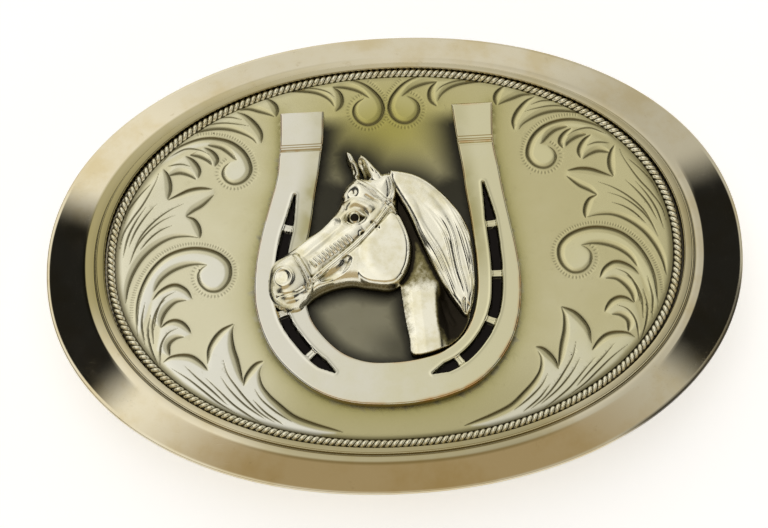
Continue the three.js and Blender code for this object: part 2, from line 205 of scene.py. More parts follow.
def relief_mesh(relief, depth, base):
    """Vertices, faces and smooth normals of a height field where depth is above zero, with its edge
    moved onto the outline and walls down to base (a number or a function of x and y), then the grid
    places that it kept and which of its vertices are the walls' tops."""
    rows, columns = depth.shape
    centre = (depth[:-1, :-1] + depth[1:, :-1] + depth[:-1, 1:] + depth[1:, 1:]) / 4
    used = centre > 0
    index = np.arange(rows * columns).reshape(rows, columns)
    quads = np.stack([index[:-1, :-1], index[:-1, 1:], index[1:, 1:], index[1:, :-1]], -1)[used]
    touched = np.zeros(rows * columns, bool)
    touched[quads.ravel()] = True
    full = np.zeros((rows + 1, columns + 1), bool)
    full[1:-1, 1:-1] = used
    all_used = (full[:-1, :-1] & full[1:, :-1] & full[:-1, 1:] & full[1:, 1:]).ravel()
    edge = touched & ~all_used
    slope_y, slope_x = np.gradient(depth, relief.step)
    size = np.maximum(np.hypot(slope_x, slope_y), 0.3)
    limit = 0.75 * relief.step
    move = np.clip(depth / size, -limit, limit)
    x = relief.X - np.where(edge.reshape(rows, columns), move * slope_x / size, 0)
    y = relief.Y - np.where(edge.reshape(rows, columns), move * slope_y / size, 0)
    gy, gx = np.gradient(relief.z, relief.step)
    normals = np.stack([-gx, -gy, np.ones_like(gx)], -1).reshape(-1, 3)
    normals /= np.linalg.norm(normals, axis=1)[:, None]
    verts = np.stack([x, y, relief.z], -1).reshape(-1, 3)

    sides = np.vstack([quads[:, [0, 1]], quads[:, [1, 2]], quads[:, [2, 3]], quads[:, [3, 0]]])
    key = np.sort(sides, axis=1)
    _, first, count = np.unique(key, axis=0, return_index=True, return_counts=True)
    border = sides[first[count == 1]]
    keep = np.flatnonzero(touched)
    number = np.full(rows * columns, -1)
    number[keep] = np.arange(len(keep))
    ring = np.unique(border)
    for turn in range(12):
        if turn == 8:
            verts[ring, 2] = relief.sample(relief.z, verts[ring, 0], verts[ring, 1])
        total, count = np.zeros_like(verts), np.zeros((len(verts), 1))
        for a, b in ((0, 1), (1, 0)):
            np.add.at(total, border[:, a], verts[border[:, b]])
            np.add.at(count, border[:, a], 1)
        verts[ring] = 0.5 * verts[ring] + 0.5 * total[ring] / count[ring]
    foot = verts[ring].copy()
    foot[:, 2] = base(foot[:, 0], foot[:, 1]) if callable(base) else base
    foot_number = np.full(rows * columns, -1)
    foot_number[ring] = len(keep) + np.arange(len(ring))
    wall = np.stack([number[border[:, 1]], number[border[:, 0]],
                     foot_number[border[:, 0]], foot_number[border[:, 1]]], -1)
    out = -np.stack([slope_x, slope_y, np.zeros_like(slope_x)], -1).reshape(-1, 3)[ring]
    out /= np.maximum(np.linalg.norm(out, axis=1), 0.001)[:, None]
    normals[ring] = out + [0, 0, 0.5]
    normals[ring] /= np.linalg.norm(normals[ring], axis=1)[:, None]
    normals = np.vstack([normals[keep], out])
    return np.vstack([verts[keep], foot]), [number[quads], wall], normals, keep, number[ring]


# ---- Meshes ----
def new_mesh(name, verts, face_lists, smooth=True):
    """A Blender mesh from vertices in mm and arrays of faces with three or four corners each."""
    mesh = bpy.data.meshes.new(name)
    mesh.vertices.add(len(verts))
    mesh.vertices.foreach_set("co", (np.asarray(verts, float) * MM).ravel())
    corners = np.concatenate([f.ravel() for f in face_lists]).astype(np.int32)
    sizes = np.concatenate([np.full(len(f), f.shape[1], np.int32) for f in face_lists])
    mesh.loops.add(len(corners))
    mesh.loops.foreach_set("vertex_index", corners)
    mesh.polygons.add(len(sizes))
    mesh.polygons.foreach_set("loop_start", np.concatenate([[0], np.cumsum(sizes)[:-1]]).astype(np.int32))
    mesh.polygons.foreach_set("loop_total", sizes)
    mesh.update(calc_edges=True)
    mesh.validate()
    mesh.polygons.foreach_set("use_smooth", np.full(len(mesh.polygons), smooth))
    return mesh


def give(mesh, name, values):
    """Stores one number per vertex under a name that the materials read."""
    attribute = mesh.attributes.new(name, "FLOAT", "POINT")
    attribute.data.foreach_set("value", np.asarray(values, np.float32))


def sharpen(mesh, degrees=35):
    mesh.set_sharp_from_angle(angle=math.radians(degrees))


def show(name, mesh, material, body, node):
    """Puts a mesh in the scene as a piece that rides on a body and stands for a CAD node."""
    piece = bpy.data.objects.new(name, mesh)
    bpy.context.scene.collection.objects.link(piece)
    mesh.materials.clear()
    mesh.materials.append(material)
    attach(piece, body)
    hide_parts(node)
    return piece


def turned_oval(profile, half, count, name):
    """A closed turned shape stretched to the oval. The profile runs from the axis to the axis."""
    share = np.array([p[0] for p in profile])
    height = np.array([p[1] for p in profile])
    ring = oval(half, np.linspace(0, 2 * math.pi, count, endpoint=False))
    inner = slice(1, len(profile) - 1)
    xy = ring[None, :, :] * share[inner, None, None]
    z = np.repeat(height[inner, None], count, 1)
    verts = np.concatenate([xy, z[..., None]], -1).reshape(-1, 3)
    verts = np.vstack([verts, [0, 0, height[0]], [0, 0, height[-1]]])
    rings = len(profile) - 2
    k = np.arange(count)
    after = (k + 1) % count
    quads = [np.stack([r * count + k, r * count + after, (r + 1) * count + after, (r + 1) * count + k], -1)
             for r in range(rings - 1)]
    first, last = len(verts) - 2, len(verts) - 1
    top = (rings - 1) * count
    fans = [np.stack([after, k, np.full(count, first)], -1),
            np.stack([top + k, top + after, np.full(count, last)], -1)]
    return new_mesh(name, verts, quads + fans)


def swept(path, radii, sides, closed=False, frames=None):
    """A tube along a path; frames gives two crosswise directions at each point, or it is worked out."""
    path = np.asarray(path, float)
    count = len(path)
    if frames is None:
        ahead = np.gradient(path, axis=0)
        ahead /= np.linalg.norm(ahead, axis=1)[:, None]
        side = np.cross(ahead, [0, 0, 1.0])
        side /= np.linalg.norm(side, axis=1)[:, None]
        frames = (side, np.cross(side, ahead))
    turn = np.linspace(0, 2 * math.pi, sides, endpoint=False)
    ring = (frames[0][:, None, :] * np.cos(turn)[None, :, None]
            + frames[1][:, None, :] * np.sin(turn)[None, :, None])
    verts = path[:, None, :] + ring * np.asarray(radii)[:, None, None]
    verts = verts.reshape(-1, 3)
    k = np.arange(sides)
    nxt = (k + 1) % sides
    rows = range(count if closed else count - 1)
    quads = [np.stack([i * sides + k, i * sides + nxt,
                       ((i + 1) % count) * sides + nxt, ((i + 1) % count) * sides + k], -1) for i in rows]
    faces = [np.vstack(quads)]
    if not closed:
        verts = np.vstack([verts, path[0], path[-1]])
        start, end = len(verts) - 2, len(verts) - 1
        last = (count - 1) * sides
        faces.append(np.stack([nxt, k, np.full(sides, start)], -1))
        faces.append(np.stack([last + k, last + nxt, np.full(sides, end)], -1))
    return verts, faces


# ---- Materials ----
class Nodes:
    """Short ways to add nodes to a node tree."""

    def __init__(self, tree):
        self.tree = tree

    def put(self, socket, value):
        if isinstance(value, bpy.types.NodeSocket):
            self.tree.links.new(value, socket)
        elif isinstance(value, tuple) and len(value) == 3 and socket.type == "RGBA":
            socket.default_value = (*value, 1.0)
        else:
            socket.default_value = value

    def math(self, operation, a, b=0.0, clamp=False):
        node = self.tree.nodes.new("ShaderNodeMath")
        node.operation = operation
        node.use_clamp = clamp
        self.put(node.inputs[0], a)
        self.put(node.inputs[1], b)
        return node.outputs[0]

    def spread(self, value, low, high, to_low=0.0, to_high=1.0):
        node = self.tree.nodes.new("ShaderNodeMapRange")
        node.interpolation_type = "SMOOTHSTEP"
        self.put(node.inputs["Value"], value)
        node.inputs["From Min"].default_value = low
        node.inputs["From Max"].default_value = high
        node.inputs["To Min"].default_value = to_low
        node.inputs["To Max"].default_value = to_high
        return node.outputs["Result"]

    def mix(self, share, a, b):
        node = self.tree.nodes.new("ShaderNodeMix")
        node.data_type = "RGBA"
        self.put(node.inputs["Factor"], share)
        self.put(node.inputs[6], a)
        self.put(node.inputs[7], b)
        return node.outputs[2]


class Paint(Nodes):
    """A material and short ways to add nodes to it. Its coordinates are in millimetres."""

    def __init__(self, name):
        self.material = bpy.data.materials.new(name)
        self.material.use_nodes = True
        super().__init__(self.material.node_tree)
        self.shader = self.tree.nodes["Principled BSDF"]
        self.shader.inputs["Metallic"].default_value = 1.0
        coordinates = self.tree.nodes.new("ShaderNodeTexCoord")
        scale = self.tree.nodes.new("ShaderNodeVectorMath")
        scale.operation = "SCALE"
        scale.inputs["Scale"].default_value = 1 / MM
        self.tree.links.new(coordinates.outputs["Object"], scale.inputs[0])
        self.place = scale.outputs[0]

    def stretch(self, scale, turn=0.0):
        node = self.tree.nodes.new("ShaderNodeMapping")
        node.inputs["Scale"].default_value = scale
        node.inputs["Rotation"].default_value = (0, 0, math.radians(turn))
        self.tree.links.new(self.place, node.inputs["Vector"])
        return node.outputs[0]

    def noise(self, size, detail=3.0, rough=0.5, place=None):
        """Cloudy noise whose lumps are about size mm across."""
        node = self.tree.nodes.new("ShaderNodeTexNoise")
        node.inputs["Scale"].default_value = 1 / size
        node.inputs["Detail"].default_value = detail
        node.inputs["Roughness"].default_value = rough
        self.tree.links.new(place or self.place, node.inputs["Vector"])
        return node.outputs["Fac"]

    def spots(self, size, place=None):
        node = self.tree.nodes.new("ShaderNodeTexVoronoi")
        node.inputs["Scale"].default_value = 1 / size
        self.tree.links.new(place or self.place, node.inputs["Vector"])
        return node.outputs["Distance"]

    def stored(self, name):
        node = self.tree.nodes.new("ShaderNodeAttribute")
        node.attribute_name = name
        return node.outputs["Fac"]

    def axis(self, which):
        node = self.tree.nodes.new("ShaderNodeSeparateXYZ")
        self.tree.links.new(self.place, node.inputs[0])
        return node.outputs[which]

    def scratches(self, size, turn):
        """Fine straight scratches in one direction, 1 in the scratch and 0 beside it."""
        lines = self.noise(1.0, 1.0, 0.4, self.stretch((1 / (size * 60), 1 / size, 1 / size), turn))
        patchy = self.spread(self.noise(7.0, 2.0), 0.48, 0.6)
        return self.math("MULTIPLY", self.spread(lines, 0.66, 0.74), patchy)

    def bump(self, height, depth, over=None):
        """Raises the surface by depth mm where height is 1."""
        node = self.tree.nodes.new("ShaderNodeBump")
        node.inputs["Distance"].default_value = depth * MM
        node.inputs["Strength"].default_value = 1.0
        self.put(node.inputs["Height"], height)
        if over is not None:
            self.tree.links.new(over, node.inputs["Normal"])
        return node.outputs["Normal"]

    def finish(self, color, roughness, normal=None):
        self.put(self.shader.inputs["Base Color"], color)
        self.put(self.shader.inputs["Roughness"], roughness)
        if normal is not None:
            self.tree.links.new(normal, self.shader.inputs["Normal"])
        return self.material


NICKEL = (0.66, 0.60, 0.44)
NICKEL_WARM = (0.60, 0.51, 0.31)
SILVER = (0.86, 0.83, 0.68)
BRONZE = (0.55, 0.33, 0.13)
OXIDE = (0.022, 0.018, 0.012)


def rim_metal():
    """Bright polished nickel silver, gone slightly warm, with fine handling scratches."""
    p = Paint("polished nickel silver")
    cloud = p.noise(9.0, 4.0, 0.6)
    color = p.mix(p.spread(cloud, 0.42, 0.7), NICKEL, NICKEL_WARM)
    darkening = p.spread(p.noise(2.2, 5.0, 0.65), 0.63, 0.74)
    color = p.mix(p.math("MULTIPLY", darkening, 0.25), color, (0.34, 0.25, 0.12))
    # an olive tint set by position round the rim
    color = p.mix(p.stored("olive_tint"), color, (0.27, 0.23, 0.09))
    # painted shade on the inner wall and along the outer foot at the lower right, and grime in the fillet
    # under the bead
    shade_and_grime = p.stored("shade_and_grime")
    color = p.mix(shade_and_grime, color, OXIDE)
    pits = p.spread(p.spots(7.5), 0.035, 0.02)
    color = p.mix(pits, color, (0.05, 0.035, 0.02))
    marks = p.math("MAXIMUM", p.scratches(0.14, 24), p.scratches(0.18, -52))
    rough = p.math("ADD", p.spread(p.noise(3.5, 4.0), 0.35, 0.75, 0.03, 0.06),
                   p.math("MULTIPLY", marks, 0.05))
    rough = p.math("ADD", rough, p.math("MULTIPLY", shade_and_grime, 0.4))
    normal = p.bump(p.noise(9.0, 1.0, 0.4), 0.008)
    normal = p.bump(marks, -0.0006, normal)
    normal = p.bump(pits, -0.05, normal)
    return p.finish(color, rough, normal)


def face_metal():
    """Satin ground turning olive-yellow towards the right and the top, polished leaves, dark cuts and
    painted shade along the plate's edge.
    """
    p = Paint("engraved satin nickel silver")
    polish, cut_and_edge_shade, smoke, halo = (p.stored(n) for n in ("polish", "cut_and_edge_shade", "smoke", "halo"))
    cloud = p.noise(7.0, 4.0, 0.6)
    # the ground and the leaves turn olive-yellow towards the right and the top
    warm = p.math("ADD", p.math("MULTIPLY", p.axis("X"), 0.9), p.axis("Y"))
    warm = p.math("ADD", warm, p.math("MULTIPLY", p.math("SUBTRACT", cloud, 0.5), 45.0))
    olive_tint = p.spread(warm, -38.0, 34.0)
    ground = p.mix(olive_tint, (0.66, 0.625, 0.44), (0.52, 0.475, 0.26))
    leaf = p.mix(olive_tint, (0.72, 0.71, 0.62), (0.62, 0.58, 0.34))
    # the ground darker along the bottom, from just left of the middle rightwards
    low = p.spread(p.axis("Y"), -12.0, -23.0)
    ground = p.mix(p.math("MULTIPLY", low, p.spread(p.axis("X"), -24.0, -12.0)), ground, (0.44, 0.40, 0.22))
    color = p.mix(polish, ground, leaf)
    color = p.mix(halo, color, (0.38, 0.34, 0.09))
    blotch = p.spread(p.noise(1.6, 5.0, 0.7), 0.58, 0.8)
    color = p.mix(p.math("MULTIPLY", blotch, 0.3), color, (0.30, 0.26, 0.13))
    color = p.mix(smoke, color, (0.020, 0.019, 0.016))
    # dark engraving cuts, and painted shade along the plate's edge
    color = p.mix(cut_and_edge_shade, color, (0.10, 0.085, 0.035))
    speck = p.spread(p.spots(4.0), 0.03, 0.018)
    color = p.mix(speck, color, (0.06, 0.04, 0.02))
    rough = p.math("MULTIPLY", p.spread(p.noise(2.0, 4.0), 0.3, 0.7, 0.2, 0.25),
                   p.math("SUBTRACT", 1.0, p.math("MULTIPLY", polish, 0.86)))
    rough = p.math("MAXIMUM", rough, p.math("MULTIPLY", cut_and_edge_shade, 0.4))
    rough = p.math("ADD", rough, p.math("MULTIPLY", smoke, 0.12))
    grain = p.noise(0.12, 2.0, 0.6)
    matt = p.math("SUBTRACT", 1.0, p.math("MULTIPLY", polish, 0.96))
    normal = p.bump(p.math("MULTIPLY", grain, matt), 0.006)
    return p.finish(color, rough, normal)


def rope_metal():
    p = Paint("twisted nickel silver wire")
    deep = p.stored("deep")
    color = p.mix(p.spread(p.noise(4.0, 3.0), 0.4, 0.7), (0.86, 0.82, 0.62), (0.76, 0.70, 0.47))
    color = p.mix(deep, color, (0.07, 0.06, 0.03))
    rough = p.math("ADD", 0.34, p.math("MULTIPLY", deep, 0.35))
    return p.finish(color, rough, p.bump(p.noise(0.3, 3.0), 0.01))


def shoe_metal():
    """Polished nickel silver, worn through to bronze on its corners, black in the fuller."""
    p = Paint("worn horseshoe metal")
    fuller, corner, olive_tint = p.stored("fuller"), p.stored("corner"), p.stored("olive_tint")
    cloud = p.noise(5.0, 4.0, 0.6)
    yellow = p.math("ADD", p.axis("X"), p.math("MULTIPLY", p.math("SUBTRACT", cloud, 0.5), 30.0))
    color = p.mix(p.spread(yellow, -18.0, 12.0), (0.69, 0.67, 0.57), (0.62, 0.585, 0.38))
    cloudy = p.math("MULTIPLY", olive_tint, p.spread(p.noise(3.0, 3.0), 0.3, 0.6, 0.6, 1.0))
    color = p.mix(cloudy, color, (0.36, 0.33, 0.15))
    worn = p.math("MULTIPLY", corner, p.spread(p.noise(3.0, 3.0), 0.38, 0.6))
    color = p.mix(worn, color, BRONZE)
    color = p.mix(fuller, color, (0.013, 0.011, 0.010))
    marks = p.math("MAXIMUM", p.scratches(0.12, -35), p.scratches(0.15, 75))
    rough = p.math("ADD", p.spread(p.noise(2.5, 4.0), 0.3, 0.75, 0.03, 0.07),
                   p.math("MULTIPLY", marks, 0.03))
    rough = p.math("ADD", rough, p.math("MULTIPLY", fuller, 0.35))
    normal = p.bump(p.noise(9.0, 1.0, 0.4), 0.008)
    normal = p.bump(marks, -0.0006, normal)
    return p.finish(color, rough, normal)


def horse_metal():
    """Bright cast silver on the high parts, dark oxide left in the hollows and painted shade on the
    relief's side walls.
    """
    p = Paint("oxidised cast silver")
    deep = p.stored("deep")
    color = p.mix(p.spread(p.noise(3.0, 4.0, 0.6), 0.4, 0.7), SILVER, (0.72, 0.67, 0.46))
    uneven = p.math("ADD", deep, p.spread(p.noise(0.8, 4.0, 0.7), 0.35, 0.8, -0.1, 0.12))
    color = p.mix(p.spread(uneven, 0.12, 0.55), color, (0.22, 0.19, 0.08))
    color = p.mix(p.spread(uneven, 0.4, 0.9), color, OXIDE)
    polish = p.math("MULTIPLY", p.stored("polish"), p.spread(p.noise(1.3, 3.0, 0.6), 0.35, 0.62, 0.86, 1.0))
    satin = p.spread(p.noise(1.6, 4.0, 0.6), 0.35, 0.7, 0.17, 0.27)
    rough = p.math("MULTIPLY", satin, p.math("SUBTRACT", 1.0, p.math("MULTIPLY", polish, 0.82)))
    rough = p.math("ADD", rough, p.spread(uneven, 0.15, 0.8, 0.0, 0.25))
    grain = p.math("MULTIPLY", p.noise(0.35, 3.0, 0.6), p.math("SUBTRACT", 1.0, polish))
    normal = p.bump(grain, 0.012)
    normal = p.bump(p.noise(2.5, 1.0, 0.4), 0.0012, normal)
    normal = p.bump(p.scratches(0.1, 40), -0.0005, normal)
    return p.finish(color, rough, normal)


def back_metal():
    """Dull brushed nickel silver with long grinding marks and stains."""
    p = Paint("brushed back metal")
    lines = p.noise(1.0, 3.0, 0.6, p.stretch((0.05, 6.0, 6.0), 3))
    cloud = p.noise(8.0, 4.0, 0.6)
    color = p.mix(p.spread(cloud, 0.35, 0.7), (0.56, 0.50, 0.35), (0.42, 0.35, 0.21))
    color = p.mix(p.spread(p.noise(2.5, 5.0, 0.7), 0.6, 0.78, 0.0, 0.5), color, (0.20, 0.15, 0.08))
    rough = p.math("ADD", p.spread(lines, 0.3, 0.7, 0.28, 0.42),
                   p.math("MULTIPLY", p.scratches(0.2, 60), 0.15))
    normal = p.bump(lines, 0.012)
    normal = p.bump(p.scratches(0.2, 60), -0.01, normal)
    return p.finish(color, rough, normal)


def steel_metal():
    p = Paint("nickel-plated steel")
    color = p.mix(p.spread(p.noise(3.0, 4.0), 0.4, 0.72), (0.60, 0.58, 0.54), (0.46, 0.42, 0.35))
    rough = p.spread(p.noise(1.5, 5.0, 0.65), 0.3, 0.75, 0.14, 0.32)
    normal = p.bump(p.noise(0.6, 3.0), 0.006)
    normal = p.bump(p.scratches(0.12, 15), -0.004, normal)
    return p.finish(color, rough, normal)


# ---- The rim ----
def arc(centre, radius, start, end, count):
    """Points on an arc in the rim's section, in share of the oval and mm of height."""
    turn = np.radians(np.linspace(start, end, count))
    return [(centre[0] + radius[0] * math.cos(t), centre[1] + radius[1] * math.sin(t)) for t in turn]


def rim_piece():
    z = BACK_Z
    bevel = [(0.996 - 0.108 * t, z + 0.88 + 1.524 * t) for t in np.linspace(0, 1, 14)]
    bevel += [(0.888 - 0.024 * t, z + 2.404 + 0.339 * (t - t * t / 2)) for t in np.linspace(0.12, 1, 8)]
    profile = [(0, z + 0.95), (0.868, z + 0.95), (0.868, z + 0.02), (0.87, z)]
    profile += [(0.93, z), (0.996, z)]
    profile += arc((0.996, z + 0.2), (0.004, 0.2), -60, 0, 4)
    profile += arc((0.996, z + 0.68), (0.004, 0.2), 0, 80, 5)
    profile += bevel
    profile += arc((0.8635, z + 2.78), (0.0075, 0.205), -95, -175, 6)
    profile += arc((0.848, z + 3.08), (0.0065, 0.34), 0, 85, 8)
    profile += [(0.842, z + 3.44), (0.838, z + 3.45)]
    profile += arc((0.834, z + 3.12), (0.006, 0.32), 80, 178, 8)
    profile += [(0.828, z + 2.9), (0.828, z + 1.92), (0.826, z + 1.9), (0, z + 1.9)]
    mesh = turned_oval(profile, RIM_HALF, 576, "rim")
    share = [p[0] for p in profile[1:-1]]
    high = [p[1] for p in profile[1:-1]]
    around = np.linspace(0, 2 * math.pi, 576, endpoint=False)
    right, left = np.maximum(np.cos(around), 0) ** 1.5, np.maximum(-np.cos(around), 0) ** 1.5
    upper = smoothstep(np.sin(around), -0.55, -0.1)
    lower = smoothstep(-np.sin(around), 0.8, 0.95)
    low_right = smoothstep(np.cos(around + math.radians(30)), 0.9, 0.97)
    shade_and_grime, olive_tint = np.zeros((2, len(share), 576))
    for i, (s, h) in enumerate(zip(share, high)):
        # painted shade: the inner wall and the floor beside it darkened, most on the right
        if s < 0.8285 and z + 1 < h < z + 3.0:
            shade_and_grime[i] = 0.9 * right + 0.5 * left
        # grime in the fillet under the bead
        if 0.8545 < s < 0.864 and h > z + 2.6:
            shade_and_grime[i] = 0.45
        # painted shade: a dark line along the outer foot at the lower right
        if s > 0.9945 and h < z + 0.9:
            shade_and_grime[i] = 0.9 * low_right
        # the bead and the bevel tinted olive by position: most on the left and at the bottom, and on the
        # bead also the right
        if 0.828 < s < 0.866 and h > z + 2.2:
            olive_tint[i] = 0.3 + 0.3 * right + 0.65 * left ** 0.6 * upper + 0.4 * lower
        if 0.863 < s < 0.889 and h > z + 2.3:
            olive_tint[i] = 0.9 * left ** 0.6 * upper + 0.6 * lower
    give(mesh, "shade_and_grime", np.concatenate([shade_and_grime.ravel(), [0, 1]]))
    give(mesh, "olive_tint", np.concatenate([olive_tint.ravel(), [0, 0]]))
    sharpen(mesh, 40)
    return show("rim", mesh, rim_metal(), "buckle", "rim_base")


# ---- The engraved face ----
# Each leaf: the strokes that cut its edge, in order round it, then the line that closes it behind.
LEAVES = [
    ([[(-16.6, 24), (-15.8, 23.5), (-15.2, 22.8), (-15, 22), (-15.2, 21.1)],
      [(-15.4, 21.1), (-16.2, 21.5), (-17.5, 22), (-19, 22.5), (-20.3, 22.4)]], []),
    ([[(-20.6, 22.1), (-19.5, 21.6), (-18.5, 20.7), (-17.7, 19.6), (-17.3, 18.5), (-17.4, 17.3)],
      [(-18, 17.2), (-18.6, 18), (-19.8, 18.8), (-21.5, 19.5), (-23.5, 19.8), (-25.5, 19.6), (-27.5, 19)]],
     [(-24.5, 20.9)]),
    ([[(-31.5, 14.8), (-29.5, 16.9), (-27.5, 17.9), (-25.5, 18.4), (-23.5, 18.3), (-21.5, 17.6),
       (-20, 16.3), (-19.2, 14.8), (-19, 13.3), (-19.6, 12.2), (-20.5, 11.6), (-21.5, 11.5), (-22.4, 12),
       (-22.9, 13), (-22.6, 14), (-21.8, 14.7)],
      [(-20.8, 15), (-21.2, 15.2), (-22, 16.1), (-23, 16.9), (-24.8, 17.4)]], [(-28, 16.8)]),
    ([[(-25.3, 17.1), (-24.4, 16.6), (-23.7, 15.8), (-23.5, 15), (-23.9, 14.2)],
      [(-24.3, 14.4), (-25, 15.2), (-26, 15.8), (-27.3, 16.1)]], []),
    ([[(-27.9, 16), (-27, 15.4), (-26.3, 14.5), (-26, 13.6), (-26.2, 12.6)],
      [(-26.5, 12.4), (-27.5, 13.1), (-28.7, 13.5), (-30.3, 13.2)]], [(-29.6, 15)]),
    ([[(-31, 14.3), (-30.4, 13.3), (-30.1, 12.2), (-30.1, 11), (-30.5, 9.7)],
      [(-30.5, 9.6), (-29, 10.3), (-27.5, 10.9), (-26, 11.1), (-24.3, 10.9)],
      [(-24.1, 10.1), (-25.8, 8.6), (-27, 7.9), (-28.1, 7.1)],
      [(-28.1, 7.1), (-27, 6.6), (-26.4, 5.6), (-26.2, 4.6), (-26.3, 3.8)],
      [(-26.4, 3.9), (-28, 4.2), (-30, 4.1), (-32, 3.2), (-34, 1.5), (-35.5, -0.8), (-36.3, -3),
       (-36.6, -5)]],
     [(-37.2, -3), (-37.4, 1), (-36.5, 6), (-34.3, 10.5)]),
    ([[(-35.1, -9.8), (-35.2, -7.5), (-35, -5), (-34.2, -2.5), (-32.8, -0.2), (-31, 1.4), (-29, 2.2),
       (-27, 2.4), (-25, 2), (-23.5, 1.2), (-22.5, 0), (-22.3, -1.5), (-22.8, -2.9), (-24, -3.9),
       (-25.4, -3.8), (-26.5, -2.7), (-26.7, -1.4), (-26.2, -0.6), (-25.4, -0.1)],
      [(-25.4, -0.1), (-26.8, 0.1), (-28.5, -0.1), (-30.3, -0.8), (-31.8, -2), (-32.8, -3.6)]],
     [(-33.8, -6.5)]),
    ([[(-33, -4.8), (-32, -3.6), (-30.5, -2.8), (-29.5, -2.8), (-28.3, -3.6), (-27.6, -4.9)],
      [(-28.3, -5), (-29.8, -5.2), (-31, -6.2), (-31.7, -7.4), (-32, -8.7)]], [(-33.4, -7.2)]),
    ([[(-32, -8.8), (-31, -8), (-30, -7.8), (-29, -8.2), (-28.3, -9), (-27.9, -9.8)],
      [(-28.8, -10.2), (-30, -10.4), (-30.9, -11.2), (-30.9, -12.8)]], [(-32.6, -12)]),
    ([[(-31.8, -13.7), (-30.8, -13), (-29, -12.8), (-27.8, -13.1), (-26.7, -14), (-25.8, -15.2)],
      [(-25.8, -14.2), (-25.6, -12.2), (-24.9, -10.8), (-23.8, -9.6), (-22.1, -8.7)],
      [(-22.1, -8.8), (-22.4, -10), (-22.3, -12), (-21.8, -14), (-21.5, -15.5), (-21.2, -17.2)],
      [(-21.1, -17.6), (-20.8, -16.4), (-20, -15.2), (-19.2, -14.5), (-18.3, -14.2)],
      [(-18.5, -14.8), (-18.9, -15.8), (-18.7, -17.5), (-17.8, -19), (-16.3, -20.6), (-14.5, -22.2),
       (-12, -23.4), (-9.5, -24.3), (-8, -24.8)]],
     [(-12, -25), (-18, -23.4), (-24, -20.6), (-29, -16.8)]),
    ([[(-6.5, 26.2), (-4.5, 26), (-2.8, 25.2), (-1.5, 24), (-0.7, 22.8), (-0.4, 21.5), (-0.8, 20.2),
       (-1.7, 19.4), (-2.8, 19.2), (-3.9, 19.8), (-4.5, 20.9), (-4.4, 21.9), (-3.9, 22.6), (-2.9, 23.2)],
      [(-2.2, 23.1), (-2.8, 23.6), (-3.8, 24.3), (-5.5, 24.9), (-7.3, 25.1)]], []),
    ([[(-7.2, 25.1), (-6.3, 24.2), (-6, 23.2), (-6.2, 22.2), (-7, 21.4)],
      [(-7.1, 22.1), (-7.8, 23.2), (-9, 24.1), (-10.5, 24.6), (-12.5, 24.8), (-14, 24.7)]], [(-10, 25.2)]),
]
# Fine lines inside the leaves, from their free ends back to the roots.
VEINS = [
    [(-31.6, 14), (-31.9, 12.8), (-32.8, 11), (-34, 9), (-35.5, 7), (-36.8, 4.8), (-37.3, 2.5)],
    [(-32.6, 12.3), (-34.5, 10.3), (-36, 8.2), (-36.6, 6.3)],
    [(-32, 9.2), (-33.5, 7.5), (-35, 5.3), (-36, 3)],
    [(-28.3, 9), (-30.3, 8.1), (-32.4, 6.6), (-34.3, 4.5), (-35.5, 2)],
    [(-30, 5.9), (-31.5, 5.3), (-33, 4.2), (-34.5, 2.5)],
    [(-29.5, 7.4), (-31.4, 6.6), (-33.2, 5.2), (-34.9, 3.1), (-36, 0.4)],
    [(-33.4, 8.9), (-34.9, 6.8), (-36.1, 4.4), (-36.8, 1.6)],
    [(-31, -4.5), (-32.2, -5.8), (-33, -8), (-33, -11)],
    [(-34, -5), (-34.5, -8), (-34.2, -11)],
    [(-33.2, -6.5), (-33.7, -9), (-33.4, -11.5), (-32.2, -14.8)],
    [(-29.6, -8.9), (-31, -9.6), (-32, -11.3), (-32.2, -14)],
    [(-29.8, -3.7), (-31.3, -4.5), (-32.4, -6.4), (-32.9, -9)],
    [(-23.8, -13.5), (-23.2, -15.8), (-22, -17.8), (-20.8, -19.5), (-19, -21.5), (-17, -23)],
    [(-26.3, -16), (-24.5, -18), (-22.5, -20.2), (-20.5, -21.8), (-18.5, -23.2)],
    [(-24.2, -16), (-23, -18), (-21, -20.3), (-18.4, -22.4)],
    [(-30.8, -14.5), (-28.5, -16.2), (-26.5, -18), (-24.5, -19.8), (-22, -21.5)],
    [(-29, -14.2), (-27.4, -16), (-25.4, -18), (-23.3, -20.2)],
    [(-19.7, -18), (-18.8, -19.6), (-17, -21.4), (-14.8, -23)],
    [(-20, -19.5), (-18.3, -21.5), (-16, -23.3)],
    [(-18.2, 23.1), (-20.6, 23.1), (-23.2, 22.4)],
    [(-18.9, 19.9), (-20.6, 20.3), (-23, 20.6), (-26.5, 20.1)],
    [(-19.9, 20.9), (-21.6, 21.4), (-24, 21.3)],
    [(-24.6, 16), (-25.8, 16.7), (-27.8, 17), (-30, 16)],
    [(-27.2, 14.4), (-28.6, 14.8), (-30.4, 14.6)],
    [(-6.9, 23.4), (-7.8, 24.3), (-9.6, 25), (-12, 25.2)],
]
SPIRALS = [2, 6, 10]  # the leaves that curl up, which have a beaded border outside them
POLISH = [0.5, 0.5, 1.0, 0.5, 0.5, 0.35, 1.0, 0.8, 0.8, 1.0, 1.0, 1.0]  # how bright each leaf was cut
BEAD = {"away": 0.72, "pitch": 0.34, "length": 0.28, "width": 0.13, "depth": 0.06}
CUT = {"edge_width": 0.54, "edge_depth": 0.2, "vein_width": 0.24, "vein_depth": 0.1}
SHOE_SHIFT = 0.29  # added to the y of every point of the shoe

